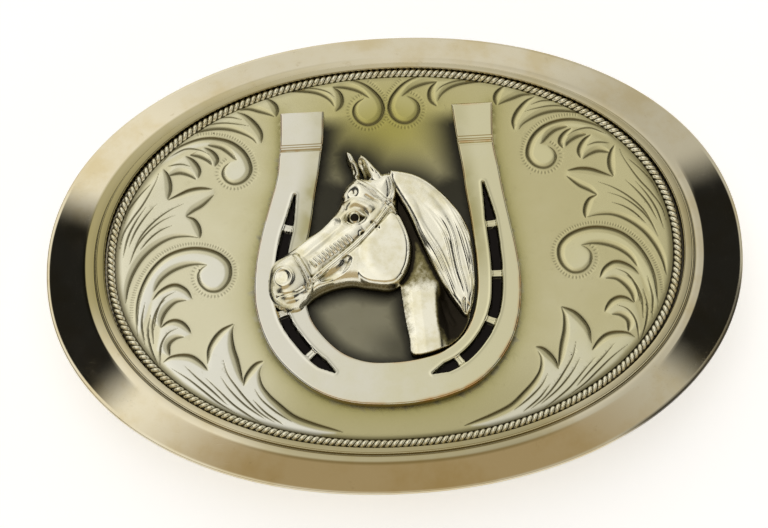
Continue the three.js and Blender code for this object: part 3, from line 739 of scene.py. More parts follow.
SHOE_OUTER = [(14.6, 20.6), (14.4, 15), (14.9, 11), (15.4, 7), (16, 3), (16.6, -1), (16.9, -5),
              (16.5, -9.5), (15.3, -13.5), (13, -17), (10, -19.6), (6, -21.2), (2, -21.9), (-2, -22),
              (-7, -21.4), (-11, -19.8), (-14.5, -17), (-17, -13.8), (-18.4, -10.5), (-19.1, -7),
              (-19.1, -4), (-18.6, 0), (-17.6, 4), (-16.4, 8), (-15.5, 11), (-15.1, 14), (-14.8, 16),
              (-14.6, 20.4)]
SHOE_INNER = [(8.9, 20.6), (9.3, 16), (9.9, 11), (10.1, 8), (10.5, 4.5), (10.8, 1), (11, -3), (10.8, -7),
              (10.1, -10), (8.6, -12.8), (6, -14.8), (2.5, -15.8), (-1, -16.1), (-4.5, -15.8),
              (-7.5, -14.5), (-9.8, -12.3), (-11.3, -10), (-12, -8), (-12.4, -4), (-12.1, 0), (-11.3, 3),
              (-10.8, 5.5), (-10.3, 8.5), (-9.7, 11.5), (-9.2, 14.5), (-8.9, 16), (-8.6, 20.4)]


def shoe_edge(points):
    line = smooth_line(points, spacing=0.25)
    return line + [0, SHOE_SHIFT]


def cut_line(face, cuts, dark, line, width, depth, soft_side=None):
    """Cuts a stroke that swells from its root and ends in a point. On its soft side, where that is
    true, it slopes gently; on the other side it is steep."""
    reach = 1.7 * width
    where, d, share, _ = face.near(line, reach)
    swell = np.sin(np.pi * np.clip(share, 0, 1)) ** 0.6 * (0.75 + 0.35 * share) + 0.02
    half = width * swell
    if soft_side is None:
        q = d / (0.5 * half)
    else:
        q = np.where(soft_side[where], d / (1.6 * half), d / (0.42 * half))
    valley = np.clip(1 - q, 0, 1)
    cuts[where] = np.maximum(cuts[where], depth * np.minimum(swell, 1.1) * valley)
    dark[where] = np.maximum(dark[where], np.clip(1.5 * (1 - d / (0.78 * half)), 0, 1))


def face_piece(head_outlines):
    face = Relief((-FACE_HALF[0] - 0.3, -FACE_HALF[1] - 0.3), (FACE_HALF[0] + 0.3, FACE_HALF[1] + 0.3), 0.1)
    share = oval_share(face.X, face.Y, FACE_HALF)
    dome = FACE_TOP - 0.06 * smoothstep(share, 0.93, 1.0) ** 1.5
    cuts = np.zeros_like(dome)
    dark = np.zeros_like(dome)
    polish = np.zeros(dome.shape)
    raised = np.zeros(dome.shape, bool)
    for side in (1, -1):
        flip = (lambda line: line * [side, 1])
        here = np.zeros(dome.shape, bool)
        strokes = []
        for (edges, behind), bright in zip(LEAVES, POLISH):
            lines = [flip(smooth_line(edge)) for edge in edges]
            outline = np.vstack(lines + ([flip(np.array(behind, float))] if behind else []))
            inside = face.inside(outline)
            here |= inside
            polish = np.maximum(polish, bright * inside)
            strokes += [(line, inside) for line in lines]
        for line, inside in strokes:
            cut_line(face, cuts, dark, line, CUT["edge_width"], CUT["edge_depth"], inside)
        for vein in VEINS:
            cut_line(face, cuts, dark, flip(smooth_line(vein)), CUT["vein_width"], CUT["vein_depth"])
        for leaf in SPIRALS:
            place, ahead = walk(smooth_line(LEAVES[leaf][0][0]), BEAD["pitch"])
            away = np.stack([-ahead[:, 1], ahead[:, 0]], 1)
            for p, out in zip(place + BEAD["away"] * away, away):
                dash = flip(np.array([p - out * BEAD["length"] / 2, p + out * BEAD["length"] / 2]))
                spot = face.window(dash, 0.01)
                if here[spot].any() or oval_share(*dash[0], FACE_HALF) > 0.985:
                    continue
                where, d, _, _ = face.near(dash, BEAD["width"])
                dent = np.clip(1 - d / BEAD["width"], 0, 1)
                cuts[where] = np.maximum(cuts[where], BEAD["depth"] * dent)
                dark[where] = np.maximum(dark[where], 0.55 * dent)
        raised |= here
    soft = face.blurred(polish * np.clip(1 - cuts / 0.02, 0, 1), 0.1)
    lift = 0.06 * face.blurred(raised.astype(float), 0.3)
    face.z = dome + lift - cuts

    outer, inner = shoe_edge(SHOE_OUTER), shoe_edge(SHOE_INNER)
    outside = ~face.inside(np.vstack([outer, outer[:1]]))
    away = face.distance(outer, 6.0)
    halo = np.where(outside, 0.75 * np.exp(-away / 1.7), 0)
    close = face.distance(inner, 6.0)
    for outline in head_outlines:
        close = np.minimum(close, face.distance(np.vstack([outline, outline[:1]]), 6.0))
    near_edge = 0.98 * np.exp(-(close / 3.6) ** 1.9)
    rise = face.Y - 0.38 * np.abs(face.X - 0.5)
    heavy = np.maximum(near_edge, 0.96 * smoothstep(face.Y, -2, 3) * smoothstep(rise, 12, 6.8))
    low_right = smoothstep(face.X, -6, 0) * smoothstep(face.Y, -9, -13)
    heavy = np.maximum(heavy, (0.66 + 0.2 * low_right) * smoothstep(face.Y, 8, 2))
    mouth = smoothstep(face.Y, 21.5, 18.5)
    smoke = np.where(outside, 0.5 * np.exp(-away / 0.5), heavy * mouth)
    top = np.exp(-((face.X / 11) ** 2 + ((face.Y - 18.5) / 6.5) ** 2))
    halo = np.maximum(halo, 0.97 * top)
    # painted shade along the plate's edge by the rope, stronger on the lower part
    low = smoothstep(face.Y, 22, 8)
    edge_shade = smoothstep(share, 0.975, 1.0) * (0.35 + 0.65 * low)

    depth = (1 - share) * np.minimum(*FACE_HALF) / np.maximum(share, 0.2)
    verts, faces, _, _, _ = relief_mesh(face, depth, FACE_LOW)
    mesh = new_mesh("face", verts, faces)
    rough_piece = bpy.data.objects.new("face_rough", mesh)
    bpy.context.scene.collection.objects.link(rough_piece)
    thin = rough_piece.modifiers.new("thin", "DECIMATE")
    thin.ratio = 175000 / sum(len(f) * (f.shape[1] - 2) for f in faces)
    evaluated = rough_piece.evaluated_get(bpy.context.evaluated_depsgraph_get())
    mesh = bpy.data.meshes.new_from_object(evaluated)
    mesh.name = "face"
    bpy.data.objects.remove(rough_piece)
    place = np.zeros(len(mesh.vertices) * 3)
    mesh.vertices.foreach_get("co", place)
    place = place.reshape(-1, 3) / MM
    # the cuts' dark oxide together with the painted shade along the plate's edge
    for name, values in (("polish", soft), ("cut_and_edge_shade", np.maximum(dark * 0.9, edge_shade * 0.8)),
                         ("smoke", smoke), ("halo", halo)):
        give(mesh, name, face.sample(values, place[:, 0], place[:, 1]))
    gy, gx = np.gradient(face.z, face.step)
    nx, ny = (-face.sample(g, place[:, 0], place[:, 1]) for g in (gx, gy))
    nz = np.ones_like(nx)
    wall = place[:, 2] < FACE_LOW + 0.4
    nx[wall], ny[wall], nz[wall] = place[wall, 0], place[wall, 1], 0.01
    normals = np.stack([nx, ny, nz], 1)
    normals /= np.linalg.norm(normals, axis=1)[:, None]
    mesh.polygons.foreach_set("use_smooth", np.ones(len(mesh.polygons), bool))
    mesh.normals_split_custom_set_from_vertices(normals.tolist())
    return show("face", mesh, face_metal(), "buckle", "face_plate")


# ---- The roped edge ----
def rope_piece():
    turns, per_turn, sides = 126, 12, 10
    strand_r, off = 0.3, 0.315
    fine = oval(ROPE_HALF, np.linspace(0, 2 * math.pi, 4001))
    length = np.concatenate([[0], np.cumsum(np.linalg.norm(np.diff(fine, axis=0), axis=1))])
    count = turns * per_turn
    at = np.linspace(0, length[-1], count, endpoint=False)
    centre = np.stack([np.interp(at, length, fine[:, k]) for k in (0, 1)] + [np.full(count, 0.0)], 1)
    centre[:, 2] = BACK_Z + 2.68
    ahead = np.roll(centre, -1, axis=0) - np.roll(centre, 1, axis=0)
    ahead /= np.linalg.norm(ahead, axis=1)[:, None]
    out = np.cross(ahead, [0, 0, 1.0])
    up = np.array([0, 0, 1.0])
    verts, faces, deep = [], [], []
    for strand in (0, 1):
        turn = 2 * math.pi * np.arange(count) / per_turn + strand * math.pi
        radial = out * np.cos(turn)[:, None] + up * np.sin(turn)[:, None]
        path = centre + off * radial
        tangent = np.roll(path, -1, axis=0) - np.roll(path, 1, axis=0)
        tangent /= np.linalg.norm(tangent, axis=1)[:, None]
        across = np.cross(tangent, radial)
        v, f = swept(path, np.full(count, strand_r), sides, closed=True, frames=(radial, across))
        faces += [part + sum(len(w) for w in verts) for part in f]
        verts.append(v)
        from_axis = np.linalg.norm(v.reshape(count, sides, 3) - centre[:, None, :], axis=2)
        deep.append(1 - smoothstep(from_axis, 0.38, 0.53).ravel())
    verts = np.vstack(verts)
    mesh = new_mesh("rope_edge_wire", verts, faces)
    give(mesh, "deep", np.concatenate(deep))
    return show("rope_edge_wire", mesh, rope_metal(), "buckle", "rope_edge")


# ---- The horseshoe ----
FULLERS = [
    ([(12.6, 8.9), (13.2, 4.5), (13.6, 0), (13.7, -4.5), (13.1, -9.3), (11.2, -13.2), (8.2, -16.2),
      (4.3, -18)], [3.0, -4.3, -10.9, -16.35]),
    ([(-13.1, 8.5), (-14, 4.5), (-14.9, 1.2), (-15.6, -3), (-15.8, -6), (-15, -9.6), (-13.4, -12.4),
      (-11.4, -14.9), (-8.8, -17.1)], [3.8, -8.4, -14.4]),
]
FULLER_HALF = 0.76
FULLER_DEPTH = 0.8
NAIL_HALF = 0.6


def shoe_grid():
    """Rows of places across the shoe, from the right heel round the toe to the left heel."""
    outer, inner = shoe_edge(SHOE_OUTER), shoe_edge(SHOE_INNER)
    hub = np.array([-1.1, -4.0])

    def places(line, kind, at):
        if kind == "toe":
            rel = line - hub
            low = rel[:, 1] < 0.6
            angle = np.arctan2(rel[low, 1], rel[low, 0])
            angle = np.where(angle > 2.0, angle - 2 * math.pi, angle)
            reach = np.linalg.norm(rel[low], axis=1)
            order = np.argsort(angle)
            r = np.interp(at, angle[order], reach[order])
            return hub + np.stack([r * np.cos(at), r * np.sin(at)], 1)
        arm = line[(line[:, 0] > 0) if kind == "right" else (line[:, 0] < 0)]
        arm = arm[arm[:, 1] > -8]
        order = np.argsort(arm[:, 1])
        return np.stack([np.interp(at, arm[order, 1], arm[order, 0]), at], 1)

    spans = [("right", np.linspace(20.6 + SHOE_SHIFT, hub[1], 225)[:-1]),
             ("toe", np.linspace(0, -math.pi, 440)[:-1]),
             ("left", np.linspace(hub[1], 20.4 + SHOE_SHIFT, 225))]
    out = np.vstack([places(outer, kind, at) for kind, at in spans])
    into = np.vstack([places(inner, kind, at) for kind, at in spans])
    return out, into


def shoe_piece():
    out, into = shoe_grid()
    across = 64
    share = np.linspace(0, 1, across)
    share = share - np.sin(2 * math.pi * share) / (2 * math.pi) * 0.35
    place = out[:, None, :] * (1 - share)[None, :, None] + into[:, None, :] * share[None, :, None]
    x, y = place[..., 0], place[..., 1]
    width = np.linalg.norm(out - into, axis=1)[:, None]
    side = np.minimum(share, 1 - share)[None, :] * width
    end = (20.5 + SHOE_SHIFT) - y
    edge = np.minimum(side, np.maximum(end, 0))
    z = np.full(x.shape, SHOE_TOP)
    # the heel blocks, with a bright step and a fine ridge below each
    block = smoothstep(y, 15.35 + SHOE_SHIFT, 15.75 + SHOE_SHIFT)
    z += (0.42 + 0.02 * (y - 18)) * block
    line = np.abs(y - (15.0 + SHOE_SHIFT))
    z -= 0.16 * np.clip(1 - line / 0.22, 0, 1)
    z += 0.1 * np.clip(1 - np.abs(y - (14.62 + SHOE_SHIFT)) / 0.16, 0, 1)
    round_off = np.clip(1 - edge / 0.32, 0, 1)
    z -= 0.28 * (1 - np.sqrt(np.clip(1 - round_off ** 2, 0, 1)))
    fuller = np.zeros(x.shape)
    lip = np.zeros(x.shape)
    for points, nails in FULLERS:
        curve = smooth_line([(a, b + SHOE_SHIFT) for a, b in points], spacing=0.12)
        step = np.linalg.norm(np.diff(curve, axis=0), axis=1)
        length = np.concatenate([[0], np.cumsum(step)])
        box = ((x > curve[:, 0].min() - 1.5) & (x < curve[:, 0].max() + 1.5)
               & (y > curve[:, 1].min() - 1.5) & (y < curve[:, 1].max() + 1.5))
        gap = np.hypot(x[box][:, None] - curve[None, :, 0], y[box][:, None] - curve[None, :, 1])
        nearest = gap.argmin(1)
        d, s = gap.min(1), length[nearest]
        for first in (np.maximum(nearest - 1, 0), np.minimum(nearest, len(curve) - 2)):
            a, b = curve[first], curve[first + 1]
            along = b - a
            t = np.clip(((x[box] - a[:, 0]) * along[:, 0] + (y[box] - a[:, 1]) * along[:, 1])
                        / (along ** 2).sum(1), 0, 1)
            reach = np.hypot(x[box] - a[:, 0] - t * along[:, 0], y[box] - a[:, 1] - t * along[:, 1])
            s = np.where(reach < d, length[first] + t * step[first], s)
            d = np.minimum(reach, d)
        half = FULLER_HALF * np.clip(np.minimum(0.25 + s / 7.0, 0.2 + (length[-1] - s) / 2.6), 0, 1)
        trench = smoothstep(half - d, -0.02, 0.2)
        nail = np.zeros(d.shape)
        for level in nails:
            at = length[np.abs(curve[:, 1] - (level + SHOE_SHIFT)).argmin()]
            nail = np.maximum(nail, smoothstep(NAIL_HALF - np.abs(s - at), -0.02, 0.16))
        ribs = 0.05 * np.sin(s * 2 * math.pi / 0.4)
        z[box] -= trench * (FULLER_DEPTH * (1 - nail) + nail * (0.22 - ribs))
        z[box] += 0.06 * np.exp(-((d - half - 0.16) / 0.14) ** 2)
        fuller[box] = np.maximum(fuller[box], trench * (1 - nail))
        lip[box] = np.maximum(lip[box], trench * nail)
    verts = np.stack([x, y, z], -1).reshape(-1, 3)
    rows = len(out)
    index = np.arange(rows * across).reshape(rows, across)
    quads = np.stack([index[:-1, :-1], index[:-1, 1:], index[1:, 1:], index[1:, :-1]], -1).reshape(-1, 4)
    border = np.concatenate([index[:, 0], index[-1, 1:], index[::-1, -1][1:], index[0, ::-1][1:-1]])
    foot = verts[border].copy()
    foot[:, 2] = FACE_TOP - 0.12
    number = rows * across + np.arange(len(border))
    wall = np.stack([border, np.roll(border, -1), np.roll(number, -1), number], -1)
    area = np.cross(place[1, 0] - place[0, 0], place[0, 1] - place[0, 0])
    if area > 0:
        quads = quads[:, ::-1]
        wall = wall[:, ::-1]
    mesh = new_mesh("horseshoe", np.vstack([verts, foot]), [quads, wall])
    corner = np.clip(1.4 - edge / 0.3, 0, 1) * 0.5
    corner = np.maximum(corner, np.clip(1 - line / 0.25, 0, 1))
    outer_low = smoothstep(x - y, 14, 24) * np.clip(1.2 - share[None, :] * width / 0.45, 0, 1)
    corner = np.maximum(corner, outer_low)
    arms = smoothstep(y, -8, 3) * (1 - 0.6 * smoothstep(y, 9, 14))
    olive_tint = 0.9 * arms * smoothstep(share[None, :] * np.ones_like(y), 0.45, 0.95)
    give(mesh, "olive_tint", np.concatenate([olive_tint.ravel(), np.zeros(len(foot))]))
    give(mesh, "fuller", np.concatenate([fuller.ravel(), np.full(len(foot), 0.5)]))
    give(mesh, "corner", np.concatenate([corner.ravel(), np.zeros(len(foot))]))
    sharpen(mesh, 60)
    return show("horseshoe", mesh, shoe_metal(), "buckle", "horseshoe")


# ---- The horse's head ----
HEAD = [(-4.8, 10.7), (-5.3, 10.2), (-6.2, 9.3), (-6.8, 8.2), (-7, 7.2), (-7.6, 6), (-8.8, 4.6), (-10, 3.4),
        (-11.5, 2.4), (-13, 1.4), (-14.5, 0.3), (-15.8, -0.5), (-16.7, -1.5), (-17.1, -3), (-17.2, -4.5),
        (-17, -5.8), (-16.4, -7), (-15.3, -7.8), (-14.2, -8.2), (-13, -8), (-12.2, -7.2), (-11.5, -6.4),
        (-10, -5.5), (-8.3, -4.9), (-6, -4.6), (-4, -5), (-2.5, -5.3), (-1, -5.5), (0.2, -5.2), (1.2, -4.2),
        (1.9, -3), (2.3, -1.5), (2.45, 0), (2.2, 1.5), (1.6, 3), (1.1, 4.5), (0.8, 6), (0.9, 7.5), (0.9, 9),
        (0.3, 10.9), (-0.8, 11.2), (-2, 10.6), (-3.4, 10.5)]
NEAR_EAR = [(-3.9, 14), (-3, 13.3), (-2, 12.1), (-1.1, 11), (-0.8, 9.6), (-2, 9.3), (-3.2, 10.2),
            (-3.7, 11.5), (-4.25, 13)]
FAR_EAR = [(-5.9, 14.7), (-5.15, 14.45), (-4.7, 13.6), (-4.4, 12.6), (-4.1, 11.2), (-4.4, 10.4),
           (-4.9, 10.6),
           (-5.25, 12.3), (-5.75, 13.5)]
NECK = [(0.5, -4), (0.7, -7), (1.05, -10.5), (1.45, -13.2), (1.7, -15.2), (5, -14.9), (8, -13.2),
        (9.6, -10.6),
        (9.8, -7), (9, 0), (6.5, 6.5), (2, 10.4), (-0.6, 10), (-1.2, 2)]
MANE_FRONT = [(-0.2, 10), (0.4, 8.6), (1.1, 7.2), (1.8, 5.8), (2.4, 4.3), (3.0, 2.6), (3.7, 0.7),
              (4.5, -1.4),
              (5.5, -3.8), (6.7, -6.2), (7.9, -8.3), (9, -10)]
MANE_BACK = [(0, 11.4), (1.6, 11.1), (3.2, 10.6), (4.9, 9.6), (6.7, 7.9), (8.2, 6.1), (9.4, 4.2),
             (10.2, 2.1),
             (10.55, -0.4), (10.65, -3), (10.6, -6), (10.1, -8.4), (9.4, -10)]
# Forms laid on the head, each a line with a half width and a rise (below zero it is a groove).
HEAD_LINES = [
    ([(-4.2, 3.0), (-6.5, 1.6), (-9, -0.3), (-11, -2.2)], 1.0, 0.28),
    ([(-7.2, 4.4), (-9.2, 2.6), (-11.6, 0.8), (-13.2, -0.6)], 0.9, -0.3),
    ([(-6.4, 6.1), (-5.1, 6.7), (-3.5, 6.1), (-2.6, 5.2)], 0.75, 0.32),
    ([(-10.4, -4.1), (-8.4, -3.4), (-6.9, -2.4), (-6.2, -0.9)], 0.8, -0.4),
    ([(-12.3, -6.2), (-10.6, -5), (-8.4, -4.3)], 0.5, 0.22),
    ([(-16.2, -6.2), (-14.9, -6.2), (-13.5, -5.9), (-12.3, -5.2)], 0.3, -0.2),
    ([(-15.0, -7.2), (-13.7, -7.0), (-12.6, -6.4)], 0.26, -0.08),
    ([(-1.4, 6.4), (-2.6, 6.9), (-3.6, 7.6)], 0.3, -0.12),
    ([(-2.9, 3.9), (-2.2, 3.0), (-1.9, 2.4)], 0.35, -0.15),
]
STRAPS = [
    ([(-0.5, 5.9), (-1.6, 4.4), (-2.8, 3.0), (-4.6, 1.15), (-7, -0.85), (-9.4, -2.75), (-11.4, -4.4)],
     0.36, 0.26),
    ([(-13.5, -0.2), (-12.8, -1.6), (-12.0, -3.2), (-11.5, -4.6), (-11.6, -5.8)], 0.36, 0.34),
    ([(-4.9, 10.1), (-3.6, 9.2), (-2.3, 8.1), (-1.2, 7.0), (-0.5, 6.3)], 0.34, 0.26),
    ([(-0.2, 10.9), (0.3, 9.4), (0.3, 7.9), (-0.2, 6.6)], 0.4, 0.3),
    ([(-0.1, 6.3), (0.7, 5.0), (1.5, 3.2), (2.05, 1.2), (2.1, -0.8), (1.75, -2.6), (1.05, -4.1)], 0.28,
     0.24),
]
EYE = (-5.1, 4.4)
JOWL = [(-4.9, 0.9), (-3.2, 2.6), (-1.6, 4.1), (-0.3, 5.2), (0.9, 4.6), (1.7, 3), (2.2, 1.3), (2.35, 0),
        (2.2, -1.5),
        (1.8, -3), (1.1, -4.2), (0.1, -5.15), (-1, -5.45), (-2.5, -5.3), (-4, -4.9), (-5.3, -3.9),
        (-5.7, -2.4),
        (-5.5, -0.7)]


def raise_line(form, z, line, half, rise, blunt=False):
    """Adds a rounded ridge, or with a rise below zero a groove, that fades at its ends."""
    where, d, share, length = form.near(line, half)
    fade = np.clip(np.minimum(share, 1 - share) * length / (1.2 * half), 0, 1) ** 0.5
    t = np.clip(1 - (d / half) ** 2, 0, 1)
    z[where] += rise * fade * (np.sqrt(t) if blunt else t ** 1.5)


def dome(form, centre, radii, turn, rise, power=1.0):
    """A rounded swelling with an elliptical foot."""
    c, s = math.cos(math.radians(turn)), math.sin(math.radians(turn))
    u = ((form.X - centre[0]) * c + (form.Y - centre[1]) * s) / radii[0]
    v = (-(form.X - centre[0]) * s + (form.Y - centre[1]) * c) / radii[1]
    return rise * np.clip(1 - u * u - v * v, 0, 1) ** power


def jowl_height(form):
    """The round cheek: nearly flat in the middle and falling gently towards the muzzle and the eye."""
    depth = form.signed(smooth_line(JOWL, closed=True), 1.4)
    z = 3.37 - 0.0103 * (form.X + 1.1) + 0.0177 * (form.Y + 0.9)
    out = np.hypot(form.X + 0.3, (form.Y + 0.5) / 1.2) - 2.7
    z -= 0.085 * np.maximum(out, 0) * smoothstep(out, 0, 1.3) * smoothstep(form.X, 0.2, -1.4)
    return np.where(depth > 0, z - 1.2 * (1 - pillow(depth, 0.75)), 0), depth


def head_height(form):
    """The face, from the poll to the lips, above the face plate."""
    depth = form.signed(smooth_line(HEAD, closed=True), 3.2)
    z = 1.25 + 1.75 * pillow(depth, 2.4) + 0.25 * pillow(depth, 0.8)
    jowl, jowl_depth = jowl_height(form)
    z = np.maximum(z, jowl)
    z += dome(form, (-14.5, -4.0), (3.1, 3.9), -20, 0.55, 0.8)
    z += dome(form, (-14.3, -7.0), (1.9, 1.3), 10, 0.25, 1.0)
    z += dome(form, (-4.0, 8.7), (2.4, 1.6), -35, 0.3, 1.2)
    z += dome(form, (-10.5, 1.6), (4.2, 1.3), 40, 0.22, 1.0)
    for points, half, rise in HEAD_LINES:
        raise_line(form, z, smooth_line(points), half, rise)
    # the row of short ribs above the cheek strap
    for t in np.linspace(0, 1, 10):
        foot = np.array([-10.6 + 5.0 * t, -2.35 + 3.35 * t])
        raise_line(form, z, np.array([foot, foot + [-0.75, 1.0]]), 0.2, 0.2)
    # the eye: a socket, the ball, its lids and the dark pupil
    ex, ey = EYE
    z -= dome(form, (ex + 0.1, ey), (2.0, 1.25), 8, 0.35, 1.0)
    ball = np.hypot(form.X - ex, form.Y - ey)
    z += 0.55 * np.clip(1 - (ball / 0.8) ** 2, 0, 1) ** 0.5
    upper = [(ex - 1.25, ey - 0.45), (ex - 0.75, ey + 0.65), (ex + 0.25, ey + 0.95), (ex + 1.1, ey + 0.4),
             (ex + 1.65, ey - 0.15)]
    lower = [(ex - 1.15, ey - 0.5), (ex - 0.3, ey - 0.98), (ex + 0.7, ey - 0.75), (ex + 1.5, ey - 0.15)]
    raise_line(form, z, smooth_line(upper), 0.3, 0.26)
    raise_line(form, z, smooth_line(lower), 0.26, 0.2)
    # the nostril: a raised ring round a hollow
    around = np.hypot((form.X + 15.15) / 0.95, form.Y + 3.75)
    z += 0.24 * np.exp(-((around - 1.25) / 0.34) ** 2)
    z -= 0.08 * np.exp(-(around / 0.7) ** 2)
    for spot_x, spot_y, size in ((-5.1, 8.1, 0.45), (-6.75, 7.5, 0.38), (-4.2, 2.2, 0.3)):
        z -= 0.3 * np.exp(-((form.X - spot_x) ** 2 + (form.Y - spot_y) ** 2) / size ** 2)
    for points, half, rise in STRAPS:
        line = smooth_line(points)
        raise_line(form, z, line, half * 1.9, -0.14)
        raise_line(form, z, line, half, rise + 0.1, blunt=True)
        raise_line(form, z, line, half * 0.3, -0.1)
    return depth, z, smoothstep(jowl_depth, 0.5, 0.9)


def ear_heights(form):
    near = form.signed(smooth_line(NEAR_EAR, closed=True), 1.4)
    z_near = 1.6 + 1.25 * pillow(near, 0.8)
    raise_line(form, z_near, smooth_line([(-3.95, 13.3), (-3.6, 12.2), (-3.2, 11), (-2.8, 10.2)]), 0.5,
               -1.0)
    raise_line(form, z_near, smooth_line([(-3.6, 13.6), (-2.6, 12.3), (-1.8, 11)]), 0.4, 0.2)
    far = form.signed(smooth_line(FAR_EAR, closed=True), 1.2)
    z_far = 1.1 + 1.1 * pillow(far, 0.6)
    raise_line(form, z_far, smooth_line([(-5.2, 13), (-4.9, 12), (-4.7, 11)]), 0.4, -0.6)
    return (near, z_near), (far, z_far)


def neck_height(form):
    """The neck: a rounded front edge, a broad flat band beside it, then a dark hollow below the mane."""
    depth = form.signed(smooth_line(NECK, closed=True) + [0, 0.4], 3.0)
    crease = np.interp(form.Y, (-15.2, -12, -9, -6, -3), (3.6, 3.5, 3.32, 3.25, 3.2))
    across = form.X - crease
    front = np.clip(-across, 0, 3)
    valley = smoothstep(form.Y - 0.12 * form.X, -8.0, -4.2)
    hollow = smoothstep(across, 1.8, 3.4) * (1 - valley)
    z = 1.95 - 0.075 * np.minimum(front, 1.2) - 0.24 * np.clip(front - 1.2, 0, 2)
    z -= 0.7 * hollow * smoothstep(across, 9.5, 4)
    raise_line(form, z, smooth_line([(6.3, -7.4), (6.7, -9.4), (7.6, -11.2)]), 0.5, 0.12)
    ledge = smooth_line([(3.1, 3.2), (3.7, 1.5), (4.5, -0.4), (5.4, -2.6), (6.5, -4.9)])
    raise_line(form, z, ledge, 0.42, 0.35)
    where, d, _, _ = form.near(ledge, 0.5)
    dark = np.maximum(0.5 * valley, 0.76 * smoothstep(across, 1.5, 2.3) * (1 - valley)
                      * (1 - 0.45 * smoothstep(form.Y + 0.35 * form.X, -8.4, -11.2)))
    dark = np.maximum(dark, 0.2 * smoothstep(front, 0.9, 1.3) + 0.2 * smoothstep(front, 1.5, 2.3))
    dark += 0.3 * (1 - valley) * np.exp(-(((form.X - 6.2) / 1.1) ** 2 + ((form.Y + 10) / 2.5) ** 2))
    dark[where] *= smoothstep(d, 0.15, 0.45)
    shine = smoothstep(across, 2.2, 1.8) * smoothstep(front, 1.4, 1.0) * (1 - valley)
    return depth, z, dark, shine


def mane_height(form):
    """Locks that run down the mane from the poll and gather at its point."""
    count = 120
    front = smooth_line(MANE_FRONT, spacing=0.1)
    back = smooth_line(MANE_BACK, spacing=0.1)
    front = front[np.linspace(0, len(front) - 1, count).astype(int)]
    back = back[np.linspace(0, len(back) - 1, count).astype(int)]
    outline = np.vstack([front, back[::-1]])
    depth = form.signed(outline, 2.0)
    z = 1.55 + 0.75 * pillow(depth, 0.9)
    u = np.linspace(0, 1, count)
    locks = [(0.06, 0.0, 1.0, 0.3), (0.2, 0.0, 0.99, 1.1), (0.34, 0.04, 1.0, 1.9), (0.47, 0.0, 0.97, 2.9),
             (0.6, 0.08, 1.0, 3.6), (0.72, 0.0, 0.98, 4.6), (0.84, 0.1, 1.0, 5.4), (0.95, 0.0, 0.97, 6.0)]
    best = np.zeros_like(z)
    for number, (at, start, stop, phase) in enumerate(locks):
        across = at + 0.045 * np.sin(2 * math.pi * 1.6 * u + phase) * np.sin(math.pi * u) ** 0.5
        path = front * (1 - across)[:, None] + back * across[:, None]
        path = path[int(start * (count - 1)):int(stop * (count - 1)) + 1]
        wide = np.linalg.norm(front - back, axis=1)
        reach = 0.105 * wide.max()
        where, d, share, _ = form.near(path, reach + 0.2)
        local = np.interp(share, np.linspace(0, 1, len(path)), wide[int(start * (count - 1)):][:len(path)])
        half = 0.11 * local + 0.12
        body = np.sqrt(np.clip(1 - (d / half) ** 2, 0, 1))
        strands = 0.12 * smoothstep(share, 0.32, 0.55) * np.cos(2 * math.pi * d / 0.5 + number)
        lift = 0.12 * math.sin(number * 2.1)
        body = 1 + (body - 1) * (0.05 + 0.95 * smoothstep(share, 0.2, 0.45))
        ends = 1 - 0.5 * smoothstep(share, 0.8, 1.0)
        best[where] = np.maximum(best[where], (0.62 + lift * smoothstep(share, 0.1,
                                                                        0.4) + strands) * body * ends)
    return depth, z + form.blurred(best, 0.06)


def head_outlines():
    shapes = [smooth_line(points, closed=True) for points in (HEAD, NEAR_EAR, FAR_EAR)]
    shapes.append(smooth_line(NECK, closed=True) + [0, 0.3])
    shapes.append(np.vstack([smooth_line(MANE_FRONT), smooth_line(MANE_BACK)[::-1]]))
    return shapes


